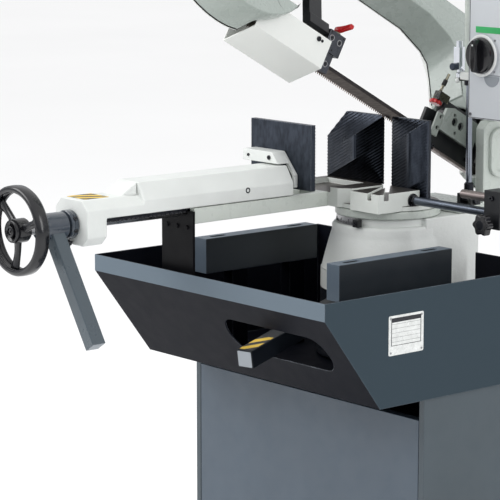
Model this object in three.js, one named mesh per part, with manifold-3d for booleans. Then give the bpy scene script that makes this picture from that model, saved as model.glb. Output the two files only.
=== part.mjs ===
// Pull-down mitre band saw: sheet cabinet, chip tray, quick-clamp vice, swivelling bow.
// Millimetres, +Z up. The origin is on the floor, under the axis that the bow swivels about.
// +X is the side where cut bars come out, and -Y is the side where the operator stands.
import * as THREE from 'three';
import { mergeVertices } from 'three/addons/utils/BufferGeometryUtils.js';
import Module from 'manifold-3d';

const wasm = await Module();
wasm.setup();

// ---------------------------------------------------------------- driving dimensions
const GAP = 0.3;                       // between pieces that touch
const PLAY = 1;                        // between pieces that move past each other

const CABINET = { halfWidth: 332, front: -219, back: 331, top: 560, sheet: 3 };
const PANEL = { low: 24, high: 518 };  // front panel, which leaves a gap under the tray
const DOOR = { halfWidth: 240, low: 60, high: 500 };
const TRAY = { halfWidth: 337, front: -470, foot: -335, back: 118, floor: 560, lip: 738, rim: 770, sheet: 3 };
const LEVER_SLOT = { left: 2, right: 284, low: 624, high: 692 };
const LEVER = { length: 475, endZ: 633, droop: 10, turned: 13.5, half: 17 };
const RAIL = { x: 192.5, halfWidth: 17.5, front: -320, back: -30, low: 735, high: 804 };

const CASTING = { foot: 567, joint: 738, skirt: 804, shoulder: 830, top: 845, radius: 110, neck: 96, flare: 130,
  side: 108, back: 147 };
const POST_RADIUS = 30;
const DISC = { radius: 104, low: 846, high: 861 };
const TABLE = { top: 900, under: 862, gap: 9, left: -179, right: 90, front: -104, back: 0 };
const JAW = { thick: 11, top: 1036, right: 108, cornerX: 57, cornerZ: 54 };

const BEAM = { front: -441, right: -60, left: -150, top: 890, lowFront: 860, lowBack: 848 };
const CARRIAGE = { front: -690, back: -196, right: -58, left: -158, low: 891.5 };
const MOVING_JAW = { left: -202, right: -24, top: 1029, face: -170, thick: 12 };
const SCREW = { x: -108, z: 880 };
const WHEEL_Y = -813;
const CLAMP_LEVER_Y = -734;

const STOP = { bar: { y: -20, z: 882 }, pin: { y: -30, z: 912 }, clampLeft: 305, clampRight: 345, radius: 8.5 };

const PIVOT = { y: 260, z: 958 };      // hinge of the bow
const RAISED = 28.8;                   // degrees that the bow stands open at rest
const BLADE = { under: -51.5, width: 27, thick: 1 };   // centre line below the hinge
const LEAN = 29.4;                     // degrees that the band wheels lean to the left
const WHEEL = { radius: 145, halfWidth: 15, rear: -66, front: 744 };
const HOUSING = { radius: 172, wall: 9, depth: 60, seam: -18, cover: 40 };
const COLUMN = { left: 82, right: 105, front: 160, back: 318, top: 1022 };
const CYLINDER = { x: 100, footY: 125, footZ: 869, topY: 118, topZ: 1322 };
const CONTROL = { left: 143, right: 330, front: 75, back: 175, low: 1040, high: 1290 };

// ---------------------------------------------------------------- solids from three.js geometry
const radians = (degrees) => degrees * Math.PI / 180;

function solid(geometry) {
  const bare = geometry.index ? geometry.toNonIndexed() : geometry;
  bare.deleteAttribute('normal');
  bare.deleteAttribute('uv');
  const merged = mergeVertices(bare, 1e-4);
  return new wasm.Manifold(new wasm.Mesh({
    numProp: 3,
    vertProperties: new Float32Array(merged.attributes.position.array),
    triVerts: new Uint32Array(merged.index.array),
  }));
}

function block(x0, x1, y0, y1, z0, z1) {
  const geometry = new THREE.BoxGeometry(x1 - x0, y1 - y0, z1 - z0);
  return solid(geometry.translate((x0 + x1) / 2, (y0 + y1) / 2, (z0 + z1) / 2));
}

// A cylinder from one point to another.
function rod(from, to, radius, sides = 20, radiusTo = radius) {
  const start = new THREE.Vector3(...from);
  const end = new THREE.Vector3(...to);
  const along = end.clone().sub(start);
  const geometry = new THREE.CylinderGeometry(radiusTo, radius, along.length(), sides);
  const turn = new THREE.Quaternion().setFromUnitVectors(new THREE.Vector3(0, 1, 0), along.normalize());
  geometry.applyQuaternion(turn);
  const middle = start.add(end).multiplyScalar(0.5);
  return solid(geometry.translate(middle.x, middle.y, middle.z));
}

// A tube between two points, bored right through.
function tube(from, to, radius, bore, sides = 20) {
  const start = new THREE.Vector3(...from);
  const end = new THREE.Vector3(...to);
  const beyond = end.clone().sub(start).normalize();
  const before = start.clone().sub(beyond);
  const past = end.clone().add(beyond);
  return rod(from, to, radius, sides).subtract(rod(before.toArray(), past.toArray(), bore, sides));
}

// An outline of [u, v] points, extruded between two values of the third axis.
function prism(outline, plane, from, to) {
  const shape = new THREE.Shape(outline.map(([u, v]) => new THREE.Vector2(u, v)));
  const geometry = new THREE.ExtrudeGeometry(shape, { depth: to - from, bevelEnabled: false });
  geometry.translate(0, 0, from);
  const axes = {
    XY: [[1, 0, 0], [0, 1, 0], [0, 0, 1]],
    YZ: [[0, 1, 0], [0, 0, 1], [1, 0, 0]],
    ZX: [[0, 0, 1], [1, 0, 0], [0, 1, 0]],
  }[plane].map((axis) => new THREE.Vector3(...axis));
  return solid(geometry.applyMatrix4(new THREE.Matrix4().makeBasis(...axes)));
}

// The same for an outline given as [x, z], extruded along Y.
const prismXZ = (outline, from, to) => prism(outline.map(([x, z]) => [z, x]), 'ZX', from, to);

// A profile of [radius, height] points turned about the Z axis.
function turned(profile, sides = 32) {
  const points = profile.map(([radius, height]) => new THREE.Vector2(radius, height));
  return solid(new THREE.LatheGeometry(points, sides).rotateX(Math.PI / 2));
}

// A slot with round ends, along the first axis of its plane.
function slotOutline(u0, u1, v0, v1, steps = 8) {
  const radius = (v1 - v0) / 2;
  const middle = (v0 + v1) / 2;
  const arc = (centre, start) => Array.from({ length: steps + 1 }, (_, i) => {
    const angle = start + Math.PI * i / steps;
    return [centre + radius * Math.cos(angle), middle + radius * Math.sin(angle)];
  });
  return [...arc(u1 - radius, -Math.PI / 2), ...arc(u0 + radius, Math.PI / 2)];
}

const join = (pieces) => pieces.reduce((whole, piece) => whole.add(piece));
const cut = (body, holes) => holes.reduce((whole, hole) => whole.subtract(hole), body);

// ---------------------------------------------------------------- materials
const paint = {
  white: { color: 0xe1e4e2, roughness: 0.55, metalness: 0.0 },
  grey: { color: 0xb9c0ba, roughness: 0.55, metalness: 0.0 },
  slate: { color: 0x48545f, roughness: 0.6, metalness: 0.0 },
  tray: { color: 0x1c2026, roughness: 0.45, metalness: 0.0 },
  jaw: { color: 0x2a3038, roughness: 0.4, metalness: 0.9 },
  black: { color: 0x101214, roughness: 0.45, metalness: 0.0 },
  steel: { color: 0x9a9c9e, roughness: 0.35, metalness: 1.0 },
  chrome: { color: 0xd8dadc, roughness: 0.08, metalness: 1.0 },
  plastic: { color: 0x15161a, roughness: 0.3, metalness: 0.0 },
  red: { color: 0xb01818, roughness: 0.35, metalness: 0.0 },
  blade: { color: 0x5a5552, roughness: 0.35, metalness: 1.0 },
};

const saw = new THREE.Group();
const bow = new THREE.Group();         // frame of the bow: y runs to the back along the blade
bow.position.set(0, PIVOT.y, PIVOT.z);
bow.rotation.x = -radians(RAISED);
saw.add(bow);
const band = new THREE.Group();        // frame of the band wheels: x along their shafts, z up their plane
band.position.set(0, 0, BLADE.under);
band.rotation.y = -radians(LEAN);
bow.add(band);

function add(name, body, finish, group = saw) {
  const mesh = body.getMesh();
  const geometry = new THREE.BufferGeometry();
  geometry.setAttribute('position', new THREE.BufferAttribute(mesh.vertProperties, 3));
  geometry.setIndex(new THREE.BufferAttribute(mesh.triVerts, 1));
  geometry.computeVertexNormals();
  const piece = new THREE.Mesh(geometry, new THREE.MeshStandardMaterial(paint[finish]));
  piece.name = name;
  group.add(piece);
}

// ---------------------------------------------------------------- cabinet and tray
function addCabinet() {
  const { halfWidth: w, front, back, top, sheet } = CABINET;
  const shell = block(-w, w, front, back, 0, top - 1);
  const inside = block(-w + sheet, w - sheet, front + sheet, back - sheet, sheet, top - 1 - sheet);
  const frontHole = block(-w + 14, w - 14, front - 1, front + sheet + 1, PANEL.low - 4, top - 1 - sheet);
  const doorHole = block(-DOOR.halfWidth, DOOR.halfWidth, back - sheet - 1, back + 1, DOOR.low, DOOR.high);
  const topHole = block(-w + 60, w - 60, front + 60, 60, top - sheet - 2, top);
  add('cabinet', cut(shell, [inside, frontHole, doorHole, topHole]), 'slate');
  add('front_panel', join([
    block(-w + 15, w - 15, front, front + sheet, PANEL.low, PANEL.high),
    block(-w + 15, w - 15, front, front + 20, PANEL.high - sheet, PANEL.high),
  ]), 'slate');
  add('cabinet_door', join([
    block(-DOOR.halfWidth - 12, DOOR.halfWidth + 12, back + 2, back + 5, DOOR.low - 12, DOOR.high + 12),
    rod([DOOR.halfWidth - 20, back + 4, 300], [DOOR.halfWidth - 20, back + 24, 300], 16, 12),
  ]), 'slate');
}

function addTray() {
  const { halfWidth: w, front, foot, back, floor, lip, rim, sheet } = TRAY;
  const outer = [[front, rim], [front, lip], [foot, floor], [back, floor], [back, rim]];
  const slope = (lip - floor - sheet) / (foot - front);
  const shift = sheet * Math.hypot(1, slope) / slope;
  const inner = [
    [front + sheet, rim + 1], [front + sheet, lip + 1], [foot + shift * 0.6, floor + sheet],
    [back - sheet, floor + sheet], [back - sheet, rim + 1],
  ];
  const shell = prism(outer, 'YZ', -w, w).subtract(prism(inner, 'YZ', -w + sheet, w - sheet));
  const castingWay = block(-CASTING.side - 22, CASTING.side + 22, back - 8, back + 1, floor + sheet, rim + 1);
  const slot = LEVER_SLOT;
  const leverWay = prismXZ(slotOutline(slot.left, slot.right, slot.low, slot.high), front - 1, foot - 2);
  add('chip_tray', cut(shell, [leverWay, castingWay]), 'tray');
}

function addRails() {
  for (const [name, side] of [['left_rail', -1], ['right_rail', 1]]) {
    const { x, halfWidth, front, back, low, high } = RAIL;
    const centre = side * x;
    const holes = [front + 45, back - 45].map((y) =>
      prism(slotOutline(y - 20, y + 20, centre - 5, centre + 5, 4).map(([v, u]) => [u, v]), 'XY', high - 12, high + 1));
    const body = join([
      block(centre - halfWidth, centre + halfWidth, front, back, low, high),
      block(centre - 14, centre + 14, -250, -210, 564, low + 1),
      block(centre - 14, centre + 14, -100, -60, 564, low + 1),
    ]);
    add(name, cut(body, holes), 'slate');
  }
}

// ---------------------------------------------------------------- base casting, scale and table
function addBase() {
  const { foot, joint, skirt, shoulder, top, radius, neck, flare, side, back } = CASTING;
  const cone = turned([
    [0, foot], [flare + 10, foot], [flare + 10, foot + 10], [flare + 4, foot + 20], [flare + 2, joint],
    [flare, joint + 1], [flare - 6, joint + 26], [radius + 3, skirt], [radius, skirt + 8], [radius, shoulder - 6],
    [radius - 5, shoulder], [neck, shoulder], [neck, top], [0, top],
  ], 40);
  const arm = block(-side, side, 0, back, foot, top);
  const plinth = block(-side - 20, side + 20, 0, back + 20, foot - 2, foot + 14).trimByPlane([0, 0, 1], foot);
  const behind = block(-side - 20, side + 20, TRAY.back + 2, back + 20, CABINET.top, foot + 2);
  const pocket = turned([[0, 688], [95, 688], [95, 744], [0, 744]], 24);
  const window = prism([[-34, -20], [150, -20], [150, -190], [-34, -190]], 'XY', 660, 726);
  add('base_casting', cut(join([cone, arm, plinth, behind]), [pocket, window]), 'white');
  const ring = tube([0, 0, shoulder + 2 * GAP], [0, 0, DISC.low - GAP], neck + 5, neck + PLAY, 48);
  const keep = prism([[0, 0], [-148, -26], [-200, -200], [36, -146]], 'XY', shoulder, top + 2);
  add('angle_scale', ring.intersect(keep), 'steel');
  add('mitre_pointer', block(20, 35, -113, -102, shoulder + GAP, DISC.low - PLAY), 'black');
  add('swivel_post', rod([0, 0, top + GAP], [0, 0, TABLE.under - GAP], POST_RADIUS, 24), 'steel');
}

function addTable() {
  const { top, under, gap, left, right, front, back } = TABLE;
  const plate = rod([0, 0, under], [0, 0, under + 9], 101, 40);
  const leftPart = prism([
    [left, back + 12], [left, front], [-34, front], [-gap, front + 18], [-gap, back - 4], [-38, back + 12],
  ], 'XY', under, top);
  const carriageWay = block(CARRIAGE.left - 3, CARRIAGE.right + 3, front - 1, back - 14, CARRIAGE.low - 2, top + 1);
  add('bed_plate', cut(join([plate, leftPart]), [carriageWay]), 'grey');
  const slotAt = (degrees) => block(-4.5, 4.5, -170, 4, top - 13, top + 1).rotate([0, 0, degrees]);
  const discWay = rod([0, 0, under - 1], [0, 0, under + 9 + GAP], 101 + PLAY, 40);
  const body = block(gap, right, front - 6, back - GAP, under + GAP, top);
  add('table_block', cut(body, [discWay, ...[30, 45].map(slotAt)]), 'grey');
  const leftJaw = [[left, top + GAP], [-gap, top + GAP], [-gap, JAW.top], [left + JAW.cornerX, JAW.top],
    [left, JAW.top - JAW.cornerZ]];
  const bladeBevel = prism([[-gap, -1], [-gap - 22, JAW.thick + 1], [5, JAW.thick + 1], [5, -1]], 'XY', top, JAW.top + 1);
  add('fixed_jaw_left', prismXZ(leftJaw, 0, JAW.thick).subtract(bladeBevel), 'jaw');
  const rightJaw = [[gap, under + 12], [JAW.right, under + 12], [JAW.right, JAW.top], [gap, JAW.top]];
  add('fixed_jaw_right', prismXZ(rightJaw, 0, JAW.thick), 'jaw');
}

// ---------------------------------------------------------------- vice
function addVice() {
  const { front, right, left, top, lowFront, lowBack } = BEAM;
  const beam = prism([
    [front, top], [front, lowFront], [TABLE.front - GAP, lowBack + 14], [TABLE.front - GAP, top],
  ], 'YZ', left, right);
  const channel = block(SCREW.x - 14, -74, front - 1, TABLE.front - 20, 864, top + 1);
  add('vice_beam', beam.subtract(channel), 'grey');
  const screwWay = rod([SCREW.x, front - 10, SCREW.z], [SCREW.x, front + 40, SCREW.z], 11 + GAP, 16);
  const rackWay = block(-92, -74, front - 8, front + 1, 878, 890);
  const boltHeads = [-30, 0, 30].map((x) => rod([x - 105, front - 9, 852], [x - 105, front - 3, 852], 5, 6));
  const plate = join([block(-152, -58, front - 6, front - GAP, 745, 884), ...boltHeads]);
  add('beam_end_plate', cut(plate, [screwWay, rackWay]), 'black');
  add('screw_nut', block(SCREW.x - 13, SCREW.x + 13, front + GAP, front + 30, 864 + GAP, 889)
    .subtract(screwWay), 'steel');
  const teeth = Array.from({ length: 24 }, (_, i) => block(-90, -76, -640 + i * 10, -635 + i * 10, 880.5, 884));
  add('vice_rack', join([block(-90, -76, -644, -390, 883, 890.5), ...teeth]), 'steel');
}

function addCarriage() {
  const { front, back, right, left, low } = CARRIAGE;
  const bridge = prismXZ([
    [right, low], [right, 916], [right - 20, 948], [left + 20, 948], [left, 916], [left, low],
  ], -560, back);
  const nose = prismXZ([
    [right, 858], [right, 908], [right - 18, 926], [left + 18, 926], [left, 908], [left, 858],
    [left + 16, 842], [right - 16, 842],
  ], front, -560);
  const wedge = prism([[-561, 925], [-561, 948], [-600, 925]], 'YZ', left + 22, right - 22);
  const underCut = block(left - 1, right + 1, -646, -559, 800, low);
  const screwBore = rod([SCREW.x, front - 1, SCREW.z], [SCREW.x, -300, SCREW.z], 13, 20);
  add('vice_carriage', cut(join([bridge, nose, wedge]), [underCut, screwBore]), 'white');
  const stroke = 5;
  const behindJaw = MOVING_JAW.face - MOVING_JAW.thick - GAP;
  const flange = prismXZ([
    [-188, 951], [-188, 973], [-100, 973], [-62, 930], [-62, 905], [-70, 905], [-70, 928], [-89, 951],
  ], back + stroke, behindJaw);
  const shelf = prismXZ([[-188, 951], [-188, 973], [-100, 973], [-82, 951]], -216, back + stroke + 1);
  add('jaw_bracket', flange.add(shelf), 'white');
  const jaw = prismXZ([
    [MOVING_JAW.left, 901], [MOVING_JAW.right, 901], [MOVING_JAW.right, MOVING_JAW.top],
    [MOVING_JAW.left, MOVING_JAW.top],
  ], MOVING_JAW.face - MOVING_JAW.thick, MOVING_JAW.face);
  add('moving_jaw', jaw, 'jaw');
  const at = (y) => [SCREW.x, y, SCREW.z];
  add('vice_screw', rod(at(WHEEL_Y + 24), at(-330), 11, 16), 'steel');
  add('screw_collar', tube(at(-706), at(front - GAP), 27, 12, 24), 'black');
  const bar = block(-14, 14, CLAMP_LEVER_Y - 14, CLAMP_LEVER_Y + 14, -240, -22)
    .rotate([0, -33, 0]).translate([SCREW.x, 0, SCREW.z]);
  const sleeve = tube(at(-762), at(-709), 25, 12, 24);
  const keepOut = rod(at(-770), at(-700), 12, 24);
  add('clamp_lever', sleeve.add(bar).subtract(keepOut), 'slate');
}

function addHandwheel() {
  const radius = 82;
  const rim = turned([[radius - 11, -10], [radius - 3, -13], [radius, 0], [radius - 3, 13], [radius - 11, 10],
    [radius - 11, -10]], 36);
  const hub = rod([0, 0, -16], [0, 0, 22], 20, 20);
  const spoke = (degrees) => block(14, radius - 6, -8, 8, -6, 5).rotate([0, 0, degrees]);
  const wheel = join([rim, hub, ...[20, 140, 260].map(spoke)]);
  const bore = rod([0, 0, -18], [0, 0, 10], 11 + GAP, 16);
  const placed = wheel.subtract(bore).rotate([90, 0, 0]).translate([SCREW.x, WHEEL_Y + 6, SCREW.z]);
  add('handwheel', placed, 'plastic');
  const angle = radians(200);
  const centre = [SCREW.x + 66 * Math.cos(angle), SCREW.z + 66 * Math.sin(angle)];
  const grip = turned([[0, 0], [9, 0], [13, 25], [12, 60], [0, 68]], 16).rotate([90, 0, 0]);
  add('crank_grip', grip.translate([centre[0], WHEEL_Y - 12, centre[1]]), 'plastic');
}

// ---------------------------------------------------------------- levers and length stop
function addMitreLever() {
  const { length, endZ, droop, half } = LEVER;
  const hubZ = endZ + length * Math.tan(radians(droop));
  const bar = block(-half, half, -length / Math.cos(radians(droop)), -60, -half, half)
    .rotate([droop, 0, 0]).rotate([0, 0, LEVER.turned]).translate([0, 0, hubZ]);
  const hub = rod([0, 0, hubZ - 26], [0, 0, hubZ + 24], 66, 24);
  add('mitre_lever', hub.add(bar), 'slate');
}

function addLengthStop() {
  const { bar, pin, clampLeft, clampRight, radius } = STOP;
  const along = (line, x0, x1, r) => rod([x0, line.y, line.z], [x1, line.y, line.z], r, 18);
  add('stop_rod', join([
    along(bar, TABLE.right + GAP, 430, radius),
    rod([TABLE.right + GAP, bar.y, bar.z], [TABLE.right + 11, bar.y, bar.z], 10.5, 6),
  ]), 'black');
  add('stop_pin', along(pin, 235, clampRight + 6, radius), 'steel');
  const clamp = block(clampLeft, clampRight, -44, -6, 856, 928);
  const bores = [bar, pin].map((line) => along(line, clampLeft - 1, clampRight + 1, radius + GAP));
  add('stop_clamp', cut(clamp, bores), 'black');
  const knobX = 322;
  const knobZ = 866;
  const lobes = Array.from({ length: 6 }, (_, i) => {
    const x = knobX + 14 * Math.cos(i * Math.PI / 3);
    const z = knobZ + 14 * Math.sin(i * Math.PI / 3);
    return rod([x, -70, z], [x, -56, z], 6.5, 10);
  });
  add('stop_knob', join([rod([knobX, -72, knobZ], [knobX, -56, knobZ], 15, 18),
    rod([knobX, -57, knobZ], [knobX, -44 - GAP, knobZ], 5, 10), ...lobes]), 'plastic');
}

// ---------------------------------------------------------------- turntable and column
function addTurntable() {
  const disc = tube([0, 0, DISC.low], [0, 0, DISC.high], DISC.radius, POST_RADIUS + PLAY, 40);
  const arm = block(-60, COLUMN.right, 95, COLUMN.front + 30, DISC.low, DISC.high)
    .subtract(rod([0, 0, 840], [0, 0, 870], 60, 24));
  const { left, right, front, back, top } = COLUMN;
  const column = prism([
    [front, DISC.low], [back - 90, DISC.low + 8], [back, PIVOT.z - 50], [back, PIVOT.z + 30], [back - 30, top - 24],
    [front + 60, top], [front + 12, top], [front, top - 14],
  ], 'YZ', left, right);
  const shaftHole = rod([left - 1, PIVOT.y, PIVOT.z], [right + 1, PIVOT.y, PIVOT.z], 16 + GAP, 24);
  const panelPost = block(left, right, front + 31, front + 51, top - 20, CONTROL.low + 60);
  const panelArm = block(left, CONTROL.left + 60, CONTROL.back + GAP, front + 51, CONTROL.low, CONTROL.low + 60);
  add('turntable', cut(join([disc, arm, column, panelPost, panelArm]), [shaftHole]), 'grey');
  add('hinge_shaft', rod([34, PIVOT.y, PIVOT.z], [right + 8, PIVOT.y, PIVOT.z], 16, 24), 'steel');
}

function addControlBox() {
  const { left, right, front, back, low, high } = CONTROL;
  const box = block(left, right, front, back, low, high);
  const switchX = 182;
  const switchZ = 1163;
  const plate = rod([switchX, front - 5, switchZ], [switchX, front + 1, switchZ], 37.5, 32);
  const buttonBore = rod([275, front - 1, 1195], [275, front + 14, 1195], 12, 20);
  add('control_box', box.add(plate).subtract(buttonBore), 'white');
  const knob = rod([switchX, front - 17, switchZ], [switchX, front - 5 - GAP, switchZ], 34, 28)
    .add(block(switchX - 9, switchX + 9, front - 31, front - 16, switchZ - 32, switchZ + 32));
  add('rotary_knob', knob, 'plastic');
  add('stop_button', join([rod([275, front - 32, 1195], [275, front - 14, 1195], 20, 24),
    rod([275, front - 15, 1195], [275, front - 4 - GAP, 1195], 11, 20)]), 'red');
}

function addCylinder() {
  const { x, footY, footZ, topY, topZ } = CYLINDER;
  const foot = new THREE.Vector3(x, footY, footZ);
  const head = new THREE.Vector3(x, topY, topZ);
  const length = foot.distanceTo(head);
  const at = (distance) => foot.clone().lerp(head, distance / length).toArray();
  const ears = join([
    block(x - 19, x - 11, footY - 14, footY + 14, DISC.high - 1, footZ + 14),
    block(x + 11, x + 19, footY - 14, footY + 14, DISC.high - 1, footZ + 14),
    block(x - 19, x + 19, footY - 14, footY + 14, DISC.high + GAP, DISC.high + 3),
  ]).trimByPlane([0, 0, 1], DISC.high + GAP);
  const pin = rod([x - 22, footY, footZ], [x + 22, footY, footZ], 5 - GAP, 16);
  add('cylinder_clevis', ears.add(pin), 'black');
  const eye = rod([x - 9, footY, footZ], [x + 9, footY, footZ], 4.9 + GAP, 16);
  const rodRadius = 6.2;
  add('lift_rod', join([rod(at(10), at(250), rodRadius, 16), rod(at(8), at(36), 9.5, 16)]).subtract(eye), 'chrome');
  const [, headY] = at(246);
  const barrel = cut(join([
    rod(at(238), at(length - 17), 9, 20), block(x - 13, x + 13, headY - 13, headY + 13, 1108, 1123),
    rod(at(length - 40), at(length - 17), 11, 16),
  ]), [rod(at(215), at(length - 45), rodRadius + PLAY / 2, 16)]);
  add('lift_cylinder', barrel, 'white');
}

// ---------------------------------------------------------------- bow
const bandAxis = (along, height) => (x) => [x, -along, height];

// A closed ribbon along the blade's path: round both wheels, and twisted upright between the guides.
function bladeRibbon() {
  const sections = [];
  const section = (along, height, normal, twist) => sections.push({ along, height, normal, twist });
  const arc = 22;
  const outer = (WHEEL.radius + GAP) / Math.cos(Math.PI / arc / 2) + BLADE.thick / 2;
  for (let i = 0; i <= arc; i += 1) {
    const angle = Math.PI / 2 + Math.PI * i / arc;
    section(WHEEL.rear + outer * Math.cos(angle), WHEEL.radius + outer * Math.sin(angle), angle, 0);
  }
  const run = [[-30, 0.05], [5, 0.25], [38, 0.5], [65, 0.75], [90, 0.95], [106, 1], [300, 1], [494, 1], [520, 0.94],
    [560, 0.76], [610, 0.5], [660, 0.24], [700, 0.06]];
  for (const [along, twist] of run) {
    section(along, (WHEEL.radius - outer) * (1 - twist), Math.PI * 1.5, twist);
  }
  for (let i = 0; i <= arc; i += 1) {
    const angle = -Math.PI / 2 + Math.PI * i / arc;
    section(WHEEL.front + outer * Math.cos(angle), WHEEL.radius + outer * Math.sin(angle), angle, 0);
  }
  for (const along of [500, 200]) section(along, WHEEL.radius + outer, Math.PI / 2, 0);
  const positions = [];
  for (const { along, height, normal, twist } of sections) {
    const face = new THREE.Vector3(0, -Math.cos(normal), Math.sin(normal));
    const across = new THREE.Vector3(1, 0, 0);
    const path = new THREE.Vector3().crossVectors(face, across);
    const turn = new THREE.Quaternion().setFromAxisAngle(path, radians(90 - LEAN) * twist);
    face.applyQuaternion(turn);
    across.applyQuaternion(turn);
    for (const [u, v] of [[-1, -1], [1, -1], [1, 1], [-1, 1]]) {
      positions.push(new THREE.Vector3(0, -along, height)
        .addScaledVector(across, u * BLADE.width / 2).addScaledVector(face, v * BLADE.thick / 2));
    }
  }
  const count = sections.length;
  const index = [];
  for (let i = 0; i < count; i += 1) {
    const here = i * 4;
    const next = ((i + 1) % count) * 4;
    for (let k = 0; k < 4; k += 1) {
      const m = (k + 1) % 4;
      index.push(here + k, next + k, here + m, here + m, next + k, next + m);
    }
  }
  const geometry = new THREE.BufferGeometry().setFromPoints(positions);
  geometry.setIndex(index);
  return solid(geometry);
}

function addBow() {
  const { radius, wall, depth, seam, cover } = HOUSING;
  const axisAt = (along) => bandAxis(along, WHEEL.radius);
  const disc = (along, r, from, to, sides = 40) => rod(axisAt(along)(from), axisAt(along)(to), r, sides);
  const top = WHEEL.radius + radius;
  const beamLow = 250;
  const outline = (inset, from, to) => join([
    disc(WHEEL.rear, radius - inset, from, to),
    disc(WHEEL.front, radius - inset, from, to),
    block(from, to, -WHEEL.front, -WHEEL.rear, beamLow + inset, top - inset),
    prism([[-103 + inset, 100], [-108 + inset, 170], [-114 + inset, 208], [-135 + inset, 228 + inset],
      [-198 + inset, beamLow + inset], [-285, beamLow + inset], [-285, beamLow + 30], [60, beamLow + 30], [60, 100]],
    'YZ', from, to),
  ]);
  const bladeWay = join([
    block(-60, 30, -210, 10, -75, 42),
    block(-60, 30, -690, -560, -96, 62),
    block(22, 52, -200, -64, -48, 18),
  ]);
  const casting = outline(0, seam + GAP, depth).subtract(outline(wall, seam - 1, depth - wall));
  const barrel = rod([30, 0, 0], [81, 0, 0], 30, 24);
  const hingeBore = rod([20, 0, 0], [90, 0, 0], 16 + PLAY, 24);
  const toBand = (body) => body.translate([0, 0, -BLADE.under]).rotate([0, LEAN, 0]);
  const hinge = toBand(barrel).trimByPlane([1, 0, 0], depth - wall + 1);
  const shaftBore = disc(WHEEL.rear, 21, depth - wall - 1, depth + 1, 24);
  const slideWay = block(depth - wall - 1, depth + 1, -WHEEL.front - 34, -WHEEL.front + 34, WHEEL.radius - 16,
    WHEEL.radius + 16);
  add('bow_frame', cut(casting.add(hinge), [toBand(bladeWay), toBand(hingeBore), shaftBore, slideWay]), 'grey', band);
  const lid = outline(0, seam - 4, seam).add(outline(24, -cover, seam - 3)).subtract(outline(28, 4 - cover, seam + 1));
  add('blade_cover', cut(lid, [toBand(bladeWay)]), 'grey', band);
  add('blade', bladeRibbon(), 'blade', band);
  for (const [name, along, bore] of [['drive_wheel', WHEEL.rear, 0], ['idle_wheel', WHEEL.front, 20]]) {
    const { radius: r, halfWidth: half } = WHEEL;
    const rim = turned([[r - 16, 1 - half], [r, 1 - half], [r, half - 1], [r + 3, half - 1], [r + 3, half + 1],
      [r - 16, half + 1], [r - 16, 1 - half]], 36).rotate([0, 90, 0]);
    const web = disc(0, WHEEL.radius - 14, -5, 5).translate([0, 0, -WHEEL.radius]);
    const hub = rod([-15, 0, 0], [20, 0, 0], 34, 24);
    const windows = [0, 72, 144, 216, 288].map((degrees) =>
      rod([-10, 0, 85], [10, 0, 85], 24, 10).rotate([degrees, 0, 0]));
    let wheel = cut(join([rim, web, hub]), windows);
    wheel = bore ? wheel.subtract(rod([-20, 0, 0], [25, 0, 0], bore, 24))
      : wheel.add(rod([18, 0, 0], [depth + 40, 0, 0], 17, 24));
    add(name, wheel.translate([0, -along, WHEEL.radius]), 'steel', band);
  }
  const gearX = depth + GAP;
  const gearbox = join([
    disc(WHEEL.rear, 62, gearX, gearX + 62, 28), disc(WHEEL.rear, 74, gearX, gearX + 12, 28),
  ]).subtract(disc(WHEEL.rear, 19, gearX - 1, gearX + 44, 24));
  add('gearbox', gearbox, 'grey', band);
  const motorX = gearX + 62 + GAP;
  add('motor', join([disc(WHEEL.rear, 60, motorX, motorX + 170, 24), disc(WHEEL.rear, 72, motorX, motorX + 10, 24),
    disc(WHEEL.rear, 66, motorX + 168, motorX + 205, 24)]), 'slate', band);
  addTension(axisAt);
}

function addTension(axisAt) {
  const { depth } = HOUSING;
  const centre = axisAt(WHEEL.front);
  const plate = block(depth + GAP, depth + 16, -WHEEL.front - 60, -WHEEL.front + 60, WHEEL.radius - 32,
    WHEEL.radius + 32);
  const axle = rod(centre(-18), centre(depth + 10), 14, 20);
  add('tension_slide', plate.add(axle), 'steel', band);
  add('idle_bearing', tube(centre(-10), centre(14), 20 - GAP, 14 + GAP, 20), 'chrome', band);
  const nutY = -WHEEL.front - 64;
  add('tension_bracket', block(depth + GAP, depth + 34, nutY - 10, nutY, WHEEL.radius - 30, WHEEL.radius + 30)
    .subtract(rod([depth + 16, nutY - 12, WHEEL.radius], [depth + 16, nutY + 2, WHEEL.radius], 8 + GAP, 16)), 'grey', band);
  const wheelY = -WHEEL.front - HOUSING.radius - 30;
  const spokes = [0, 60, 120].map((degrees) => block(-46, 46, -7, 7, -8, 8).rotate([0, 0, degrees]));
  const hand = join([rod([0, 0, -12], [0, 0, 12], 24, 20), ...spokes]).rotate([90, 0, 0])
    .translate([depth + 16, wheelY, WHEEL.radius]);
  const stem = rod([depth + 16, wheelY, WHEEL.radius], [depth + 16, nutY + 3, WHEEL.radius], 8, 16);
  add('tension_handwheel', hand.add(stem), 'plastic', band);
}

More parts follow.
